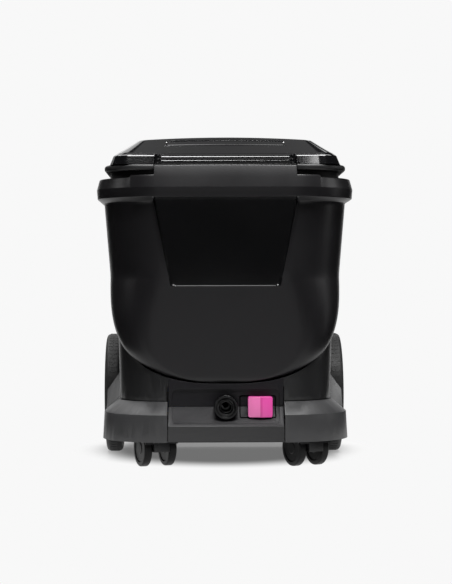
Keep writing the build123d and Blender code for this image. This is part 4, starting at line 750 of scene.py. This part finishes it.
# Caster wheels: round shoulders, a shallow dish and a closed hub boss on each face
casterWheel = {
    "radius": 25.0, "wide": 11.0, "round": 3.5, "dish": 1.0, "dishOut": 18.0, "dishIn": 8.5,
    "dishWall": 1.2, "bossShy": 0.3, "bossWall": 1.0, "soft": 0.6, "swing": {"left": 21.0, "right": 27.0},
}


def makeCasterWheels():
    half = casterWheel["wide"] / 2
    floor = half - casterWheel["dish"]
    boss = half - casterWheel["bossShy"]
    radius, soft = casterWheel["radius"], casterWheel["soft"]
    dishIn, dishOut = casterWheel["dishIn"], casterWheel["dishOut"]
    side = [(0.0, boss, 0), (dishIn - casterWheel["bossWall"], boss, soft), (dishIn, floor, soft),
            (dishOut, floor, soft), (dishOut + casterWheel["dishWall"], half, soft),
            (radius, half, casterWheel["round"]), (radius, 0.0, 0)]
    profile = roundPath(side, 5)
    profile += [(out, -far) for out, far in profile[-2::-1]]
    for hand, swing in casterWheel["swing"].items():
        turn = math.radians(swing)
        axis = (math.cos(turn), math.sin(turn), 0)
        for place in ("near", "far"):
            node = f"caster_wheel_{hand}_{place}"
            low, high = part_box(node)
            centre = [(a + b) / 2 / mm for a, b in zip(low, high)]
            turned("turned_" + node, profile, centre, axis, "caster_tread", [node])
    print("caster wheels made: 4")


makeCasterWheels()


# What repeats comes from Geometry Nodes: a tree with named inputs, run once on a carrier mesh
def newTree(name, inputs):
    tree = bpy.data.node_groups.new(name, "GeometryNodeTree")
    tree.interface.new_socket("Geometry", in_out="INPUT", socket_type="NodeSocketGeometry")
    for label, kind in inputs.items():
        tree.interface.new_socket(label, in_out="INPUT", socket_type="NodeSocket" + kind)
    tree.interface.new_socket("Geometry", in_out="OUTPUT", socket_type="NodeSocketGeometry")
    return tree, addNode(tree, "NodeGroupInput").outputs


def runTree(name, tree, points, values):
    mesh = bpy.data.meshes.new(name)
    mesh.from_pydata(points, [], [])
    piece = addObject(name, mesh)
    modifier = piece.modifiers.new(name, "NODES")
    modifier.node_group = tree
    for socket in tree.interface.items_tree:
        if socket.in_out == "INPUT" and socket.name in values:
            modifier[socket.identifier] = values[socket.name]
    applyModifiers(piece)
    return piece


def endTree(tree, geometry, material):
    whole = addNode(tree, "GeometryNodeRealizeInstances", {"Geometry": geometry})
    coated = addNode(tree, "GeometryNodeSetMaterial", {"Geometry": whole.outputs[0], "Material": material})
    addNode(tree, "NodeGroupOutput", {"Geometry": coated.outputs[0]})


# Screws: a pan head with a cross recess on a plain shank
screw = {
    "headRadius": 4.0, "headHigh": 2.4, "crown": 0.72, "shankRadius": 2.0,
    "slotLong": 4.4, "slotWide": 1.0, "slotDeep": 1.4, "headSides": 28, "shankSides": 20,
}


def makeScrewTree():
    tree, given = newTree("crossHeadScrew", {
        "Head Radius": "Float", "Head High": "Float", "Shank Radius": "Float", "Shank Long": "Float",
        "Slot Long": "Float", "Slot Wide": "Float", "Slot Deep": "Float", "Turn": "Vector",
        "Steel": "Material"})
    crown = addNode(tree, "ShaderNodeMath", {
        0: given["Head Radius"], 1: screw["crown"]}, operation="MULTIPLY")
    head = addNode(tree, "GeometryNodeMeshCone", {
        "Vertices": screw["headSides"], "Radius Top": given["Head Radius"],
        "Radius Bottom": crown.outputs[0], "Depth": given["Head High"]})
    drop = addNode(tree, "ShaderNodeMath", {0: given["Head High"], 1: -1.0}, operation="MULTIPLY")
    headAt = addNode(tree, "ShaderNodeCombineXYZ", {"Z": drop.outputs[0]})
    lowered = addNode(tree, "GeometryNodeTransform", {
        "Geometry": head.outputs["Mesh"], "Translation": headAt.outputs[0]})
    cut = lowered.outputs[0]
    for x, y in (("Slot Long", "Slot Wide"), ("Slot Wide", "Slot Long")):
        size = addNode(tree, "ShaderNodeCombineXYZ", {"X": given[x], "Y": given[y], "Z": given["Slot Deep"]})
        bar = addNode(tree, "GeometryNodeMeshCube", {"Size": size.outputs[0]})
        placed = addNode(tree, "GeometryNodeTransform", {
            "Geometry": bar.outputs[0], "Translation": headAt.outputs[0]})
        less = addNode(tree, "GeometryNodeMeshBoolean", {
            "Mesh 1": cut, "Mesh 2": placed.outputs[0]}, operation="DIFFERENCE")
        cut = less.outputs[0]
    shank = addNode(tree, "GeometryNodeMeshCylinder", {
        "Vertices": screw["shankSides"], "Radius": given["Shank Radius"], "Depth": given["Shank Long"]})
    half = addNode(tree, "ShaderNodeMath", {0: given["Shank Long"], 1: 0.5}, operation="MULTIPLY")
    shankAt = addNode(tree, "ShaderNodeCombineXYZ", {"Z": half.outputs[0]})
    raised = addNode(tree, "GeometryNodeTransform", {
        "Geometry": shank.outputs["Mesh"], "Translation": shankAt.outputs[0]})
    one = addNode(tree, "GeometryNodeJoinGeometry")
    for part in (cut, raised.outputs[0]):
        tree.links.new(part, one.inputs[0])
    copies = addNode(tree, "GeometryNodeInstanceOnPoints", {
        "Points": given["Geometry"], "Instance": one.outputs[0], "Rotation": given["Turn"]})
    endTree(tree, copies.outputs[0], given["Steel"])
    return tree


# The points of each loose solid in a node, always in the same order
def islands(node):
    shape = bmesh.new()
    shape.from_mesh(frame["nodes"][node].data)
    bmesh.ops.remove_doubles(shape, verts=shape.verts, dist=micron)
    left = set(shape.verts)
    found = []
    for first in shape.verts:
        if first not in left:
            continue
        left.remove(first)
        stack = [first]
        island = []
        while stack:
            vert = stack.pop()
            island.append(vert.co.copy())
            near = {edge.other_vert(vert) for edge in vert.link_edges} & left
            left -= near
            stack += near
        found.append(island)
    shape.free()
    return found


# Where the heads bear, which way the shanks point and how long they are, from the node's own solids
def screwPlaces(node):
    headHigh = screw["headHigh"] * mm
    places = []
    for island in islands(node):
        low = Vector([min(p[i] for p in island) for i in range(3)])
        high = Vector([max(p[i] for p in island) for i in range(3)])
        axis = max(range(3), key=lambda i: high[i] - low[i])
        middle = (low + high) / 2

        def offAxis(point):
            away = point - middle
            away[axis] = 0.0
            return away.length

        ends = {}
        for side, end in ((1, low[axis]), (-1, high[axis])):
            ends[side] = max(offAxis(p) for p in island if abs(p[axis] - end) < 1e-4)
        side = max(ends, key=ends.get)  # the head is the wider end
        out = Vector([side if i == axis else 0 for i in range(3)])
        bearing = middle.copy()
        bearing[axis] = (low[axis] if side > 0 else high[axis]) + side * headHigh
        places.append((bearing, out, high[axis] - low[axis] - headHigh))
    return places


def makeScrews():
    tree = makeScrewTree()
    total = 0
    for node in ("lid_screws", "base_screws", "cradle_screws", "panel_screws", "tank_screws"):
        places = screwPlaces(node)
        out, long = places[0][1:]
        turn = Vector((0, 0, 1)).rotation_difference(out).to_euler()
        steel = blackSteel if node == "base_screws" else finishes["steel"]
        piece = runTree("made_" + node, tree, [tuple(p[0]) for p in places], {
            "Head Radius": screw["headRadius"] * mm, "Head High": screw["headHigh"] * mm,
            "Shank Radius": screw["shankRadius"] * mm, "Shank Long": long,
            "Slot Long": screw["slotLong"] * mm, "Slot Wide": screw["slotWide"] * mm,
            "Slot Deep": screw["slotDeep"] * mm, "Turn": tuple(turn), "Steel": steel})
        settle(piece, [node])
        total += len(places)
    print("screws made:", total)


makeScrews()


# Rear wheels stand a little narrower than their solids, measured from the inner face
rearWheel = {"inner": 150.0, "wide": 23.5, "solidWide": 27.0}
# Their tyres: a round body with slanted tread blocks
tyre = {
    "round": 10.5, "bore": 72.5, "crownShy": 0.3, "steps": 128,
    "blocks": 72, "blockHigh": 2.0, "blockWide": 6.0, "blockLong": 5.4, "blockShift": 0.56, "slant": 18.0,
}


def narrowWheels():
    for node in ("rear_rim_left", "rear_rim_right", "hub_cap_left", "hub_cap_right"):
        for vertex in made[node].data.vertices:
            out = abs(vertex.co.x) / mm - rearWheel["inner"]
            narrowed = rearWheel["inner"] + out * rearWheel["wide"] / rearWheel["solidWide"]
            vertex.co.x = math.copysign(narrowed * mm, vertex.co.x)


def makeTreadTree():
    tree, given = newTree("slantedTread", {
        "Blocks": "Int", "Radius": "Float", "Block High": "Float", "Block Wide": "Float",
        "Block Long": "Float", "Slant": "Float", "Centre": "Vector", "Rubber": "Material"})
    sink = addNode(tree, "ShaderNodeMath", {0: given["Block High"], 1: -0.5}, operation="MULTIPLY")
    inner = addNode(tree, "ShaderNodeMath", {0: given["Radius"], 1: sink.outputs[0]}, operation="ADD")
    hoop = addNode(tree, "GeometryNodeMeshCircle", {"Vertices": given["Blocks"], "Radius": inner.outputs[0]})
    size = addNode(tree, "ShaderNodeCombineXYZ", {
        "X": given["Block High"], "Y": given["Block Wide"], "Z": given["Block Long"]})
    block = addNode(tree, "GeometryNodeMeshCube", {"Size": size.outputs[0]})
    pair = addNode(tree, "GeometryNodeJoinGeometry")
    for side in (-1.0, 1.0):
        lean = addNode(tree, "ShaderNodeMath", {0: given["Slant"], 1: side}, operation="MULTIPLY")
        shift = addNode(tree, "ShaderNodeMath", {
            0: given["Block Long"], 1: side * tyre["blockShift"]}, operation="MULTIPLY")
        turn = addNode(tree, "ShaderNodeCombineXYZ", {"X": lean.outputs[0]})
        place = addNode(tree, "ShaderNodeCombineXYZ", {"Z": shift.outputs[0]})
        placed = addNode(tree, "GeometryNodeTransform", {
            "Geometry": block.outputs[0], "Rotation": turn.outputs[0], "Translation": place.outputs[0]})
        tree.links.new(placed.outputs[0], pair.inputs[0])
    spot = addNode(tree, "GeometryNodeInputPosition")
    face = addNode(tree, "FunctionNodeAlignEulerToVector", {
        "Vector": spot.outputs[0]}, axis="X", pivot_axis="Z")
    copies = addNode(tree, "GeometryNodeInstanceOnPoints", {
        "Points": hoop.outputs[0], "Instance": pair.outputs[0], "Rotation": face.outputs[0]})
    upright = addNode(tree, "GeometryNodeTransform", {
        "Geometry": copies.outputs[0], "Rotation": (0.0, math.pi / 2, 0.0), "Translation": given["Centre"]})
    endTree(tree, upright.outputs[0], given["Rubber"])
    return tree


def makeTyres():
    tree = makeTreadTree()
    for hand in ("left", "right"):
        node = "rear_tyre_" + hand
        low, high = (Vector(corner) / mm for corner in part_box(node))
        centre, radius = (low + high) / 2, (high.z - low.z) / 2
        half, crown = rearWheel["wide"] / 2, radius - tyre["crownShy"]
        centre.x = math.copysign(rearWheel["inner"] + half, centre.x)
        path = roundPath([
            (tyre["bore"], half, 0), (crown, half, tyre["round"]),
            (crown, -half, tyre["round"]), (tyre["bore"], -half, 0)], 9)
        turned("turned_" + node, path + path[:1], centre, (1, 0, 0), "wheel_rubber", [node], tyre["steps"])
        tread = runTree("tread_" + hand, tree, [], {
            "Blocks": tyre["blocks"], "Radius": radius * mm, "Block High": tyre["blockHigh"] * mm,
            "Block Wide": tyre["blockWide"] * mm, "Block Long": tyre["blockLong"] * mm,
            "Slant": math.radians(tyre["slant"]), "Centre": tuple(centre * mm),
            "Rubber": finishes["wheel_rubber"]})
        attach(tread, frame["nodes"][node]["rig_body"])
    print("tyres made: 2")


narrowWheels()
makeTyres()

# Every node still showing takes the finish of its slot, or one of its own
ownFinish = {
    "caster_sockets": finishes["inner_plastic"],
    "caster_stem_left": blackSteel, "caster_stem_right": blackSteel,
}
for name, source in frame["nodes"].items():
    if source.hide_render:
        continue
    for index, material in enumerate(list(source.data.materials)):
        base = material.name.split(".")[0] if material else ""
        if base in finishes:
            source.data.materials[index] = ownFinish.get(name, finishes[base])
print("plain nodes finished")


# Stage: one pale sweep of floor and backdrop, white to the camera and in reflections away from the object;
# near the object the paper is painted dim grey as a soft shadow, lifted by a little white glow
sweep = {
    "front": -0.9, "back": 2.8, "curve": 0.5, "curveSteps": 12, "high": 2.0,
    "frontSide": 0.6, "side": 0.4, "backSide": 1.55, "narrowY": 0.3,
    "shadeX": 0.19, "shadeY": 0.25, "shadeBack": 0.13, "shadeFrom": 0.75, "shadeTo": 1.2, "lift": 0.17,
    "shadowTone": "3A3A3A", "paper": "F2F2F2", "white": "F8F8F8",
}


def paperSweep():
    material, tree, output = newMaterial("paperSweep")
    place = addNode(tree, "ShaderNodeTexCoord").outputs["Object"]
    middle = addNode(tree, "ShaderNodeMapping", {
        "Vector": place, "Location": (0.0, -sweep["shadeBack"] / sweep["shadeY"], 0.0),
        "Scale": (1 / sweep["shadeX"], 1 / sweep["shadeY"], 0.0)})
    away = addNode(tree, "ShaderNodeVectorMath", {0: middle.outputs["Vector"]}, operation="LENGTH")
    far = addNode(tree, "ShaderNodeMapRange", {
        "Value": away.outputs["Value"], "From Min": sweep["shadeFrom"], "From Max": sweep["shadeTo"],
        "To Min": sweep["lift"], "To Max": 1.0}, interpolation_type="SMOOTHSTEP").outputs["Result"]
    rays = addNode(tree, "ShaderNodeLightPath").outputs
    seen = rays["Is Camera Ray"]
    for ray in ("Is Glossy Ray", "Is Transmission Ray"):
        seen = addNode(tree, "ShaderNodeMath", {0: seen, 1: rays[ray]}, operation="MAXIMUM").outputs[0]
    share = addNode(tree, "ShaderNodeMath", {0: seen, 1: far}, operation="MULTIPLY")
    # Painted shadow: near the object the paper turns dim grey
    shadowedPaper = addNode(tree, "ShaderNodeMix", {
        "Factor": far, colourA: linear(sweep["shadowTone"]), colourB: linear(sweep["paper"])}, data_type="RGBA")
    paper = addNode(tree, "ShaderNodeBsdfDiffuse", {"Color": shadowedPaper.outputs[2]})
    white = addNode(tree, "ShaderNodeEmission", {"Color": linear(sweep["white"]), "Strength": 1.0})
    both = addNode(tree, "ShaderNodeMixShader", {
        0: share.outputs[0], 1: paper.outputs[0], 2: white.outputs[0]})
    tree.links.new(both.outputs[0], output.inputs["Surface"])
    return material


def makeStage():
    curve, start = sweep["curve"], sweep["back"] - sweep["curve"]
    profile = [(sweep["front"], 0.0), (-sweep["narrowY"], 0.0), (sweep["narrowY"], 0.0), (start, 0.0)]
    for k in range(1, sweep["curveSteps"] + 1):
        turn = math.pi / 2 * k / sweep["curveSteps"]
        profile.append((start + curve * math.sin(turn), curve - curve * math.cos(turn)))
    profile.append((sweep["back"], sweep["high"]))
    sides = [sweep["frontSide"], sweep["side"], sweep["side"]] + [sweep["backSide"]] * (len(profile) - 3)
    points = [(x, y, z) for (y, z), side in zip(profile, sides) for x in (-side, side)]
    faces = [(2 * k, 2 * k + 1, 2 * k + 3, 2 * k + 2) for k in range(len(profile) - 1)]
    mesh = bpy.data.meshes.new("sweep")
    mesh.from_pydata(points, [], faces)
    mesh.shade_smooth()
    mesh.materials.append(paperSweep())
    addObject("sweep", mesh)


makeStage()

# Soft boxes: place, target, width and height in metres, watts
lamps = {
    "frontBox": ((0.15, -0.85, 1.9), (0, -0.1, 0.2), 1.2, 0.5, 50),
    "backBox": ((-0.5, 1.25, 1.5), (0, 0, 0.35), 2.2, 1.0, 9),
    "ceilingBox": ((0, 0.25, 2.1), (0, 0.2, 0), 1.2, 1.0, 1.2),
    "rightBox": ((1.5, -0.1, 0.6), (0, 0, 0.25), 0.25, 1.0, 0.8),
    "lowFront": ((0, -3.2, 0.25), (0, 0, 0.22), 1.2, 0.5, 2.2),
    "leftHigh": ((-1.4, -0.3, 0.9), (0, 0, 0.38), 0.5, 0.35, 1.6),
    "rightHigh": ((1.4, -0.3, 0.9), (0, 0, 0.38), 0.5, 0.35, 2.0),
    "catchLight": ((0.245, -1.195, 1.64), (0.117, -0.165, 0.416), 0.05, 0.03, 0.06),
    "leftStrip": ((-0.62, 0.3, 2.0), (-0.1, 0, 0.2), 0.25, 1.0, 14),
    "rightStrip": ((0.65, 0.2, 2.0), (0.1, 0, 0.2), 0.25, 0.8, 11),
}
for name, (place, target, width, height, watts) in lamps.items():
    lamp = bpy.data.lights.new(name, "AREA")
    lamp.shape = "RECTANGLE"
    lamp.size = width
    lamp.size_y = height
    lamp.energy = watts
    box = addObject(name, lamp)
    box.location = place
    box.rotation_euler = (Vector(target) - Vector(place)).to_track_quat("-Z", "Y").to_euler()

# The room gives a trace of light, and the camera sees it pale
room = {"colour": "D8D8D8", "strength": 0.03, "seen": "F8F8F8"}
world = bpy.data.worlds.new("studio")
world.use_nodes = True
studio = world.node_tree
studio.nodes.clear()
rays = addNode(studio, "ShaderNodeLightPath")
faint = addNode(studio, "ShaderNodeBackground", {
    "Color": linear(room["colour"]), "Strength": room["strength"]})
pale = addNode(studio, "ShaderNodeBackground", {"Color": linear(room["seen"]), "Strength": 1.0})
ends = addNode(studio, "ShaderNodeMixShader", {
    0: rays.outputs["Is Camera Ray"], 1: faint.outputs[0], 2: pale.outputs[0]})
addNode(studio, "ShaderNodeOutputWorld", {"Surface": ends.outputs[0]})
bpy.context.scene.world = world

# The camera stands a little left and looks at the object's middle
shot = {"place": (-0.031, -2.384, 0.237), "film": 36.0, "lens": 102.0, "shiftX": 0.0032, "roll": 0.15}
camera = bpy.data.cameras.new("camera")
camera.sensor_fit = "VERTICAL"
camera.sensor_height = shot["film"]
camera.lens = shot["lens"]
camera.shift_x = shot["shiftX"]
eye = addObject("camera", camera)
eye.location = shot["place"]
heading = -math.atan2(-shot["place"][0], -shot["place"][1])
eye.rotation_euler = (math.pi / 2, math.radians(shot["roll"]), heading)
bpy.context.scene.camera = eye
bpy.context.scene.view_settings.view_transform = "Standard"
print("stage, lamps and camera set")
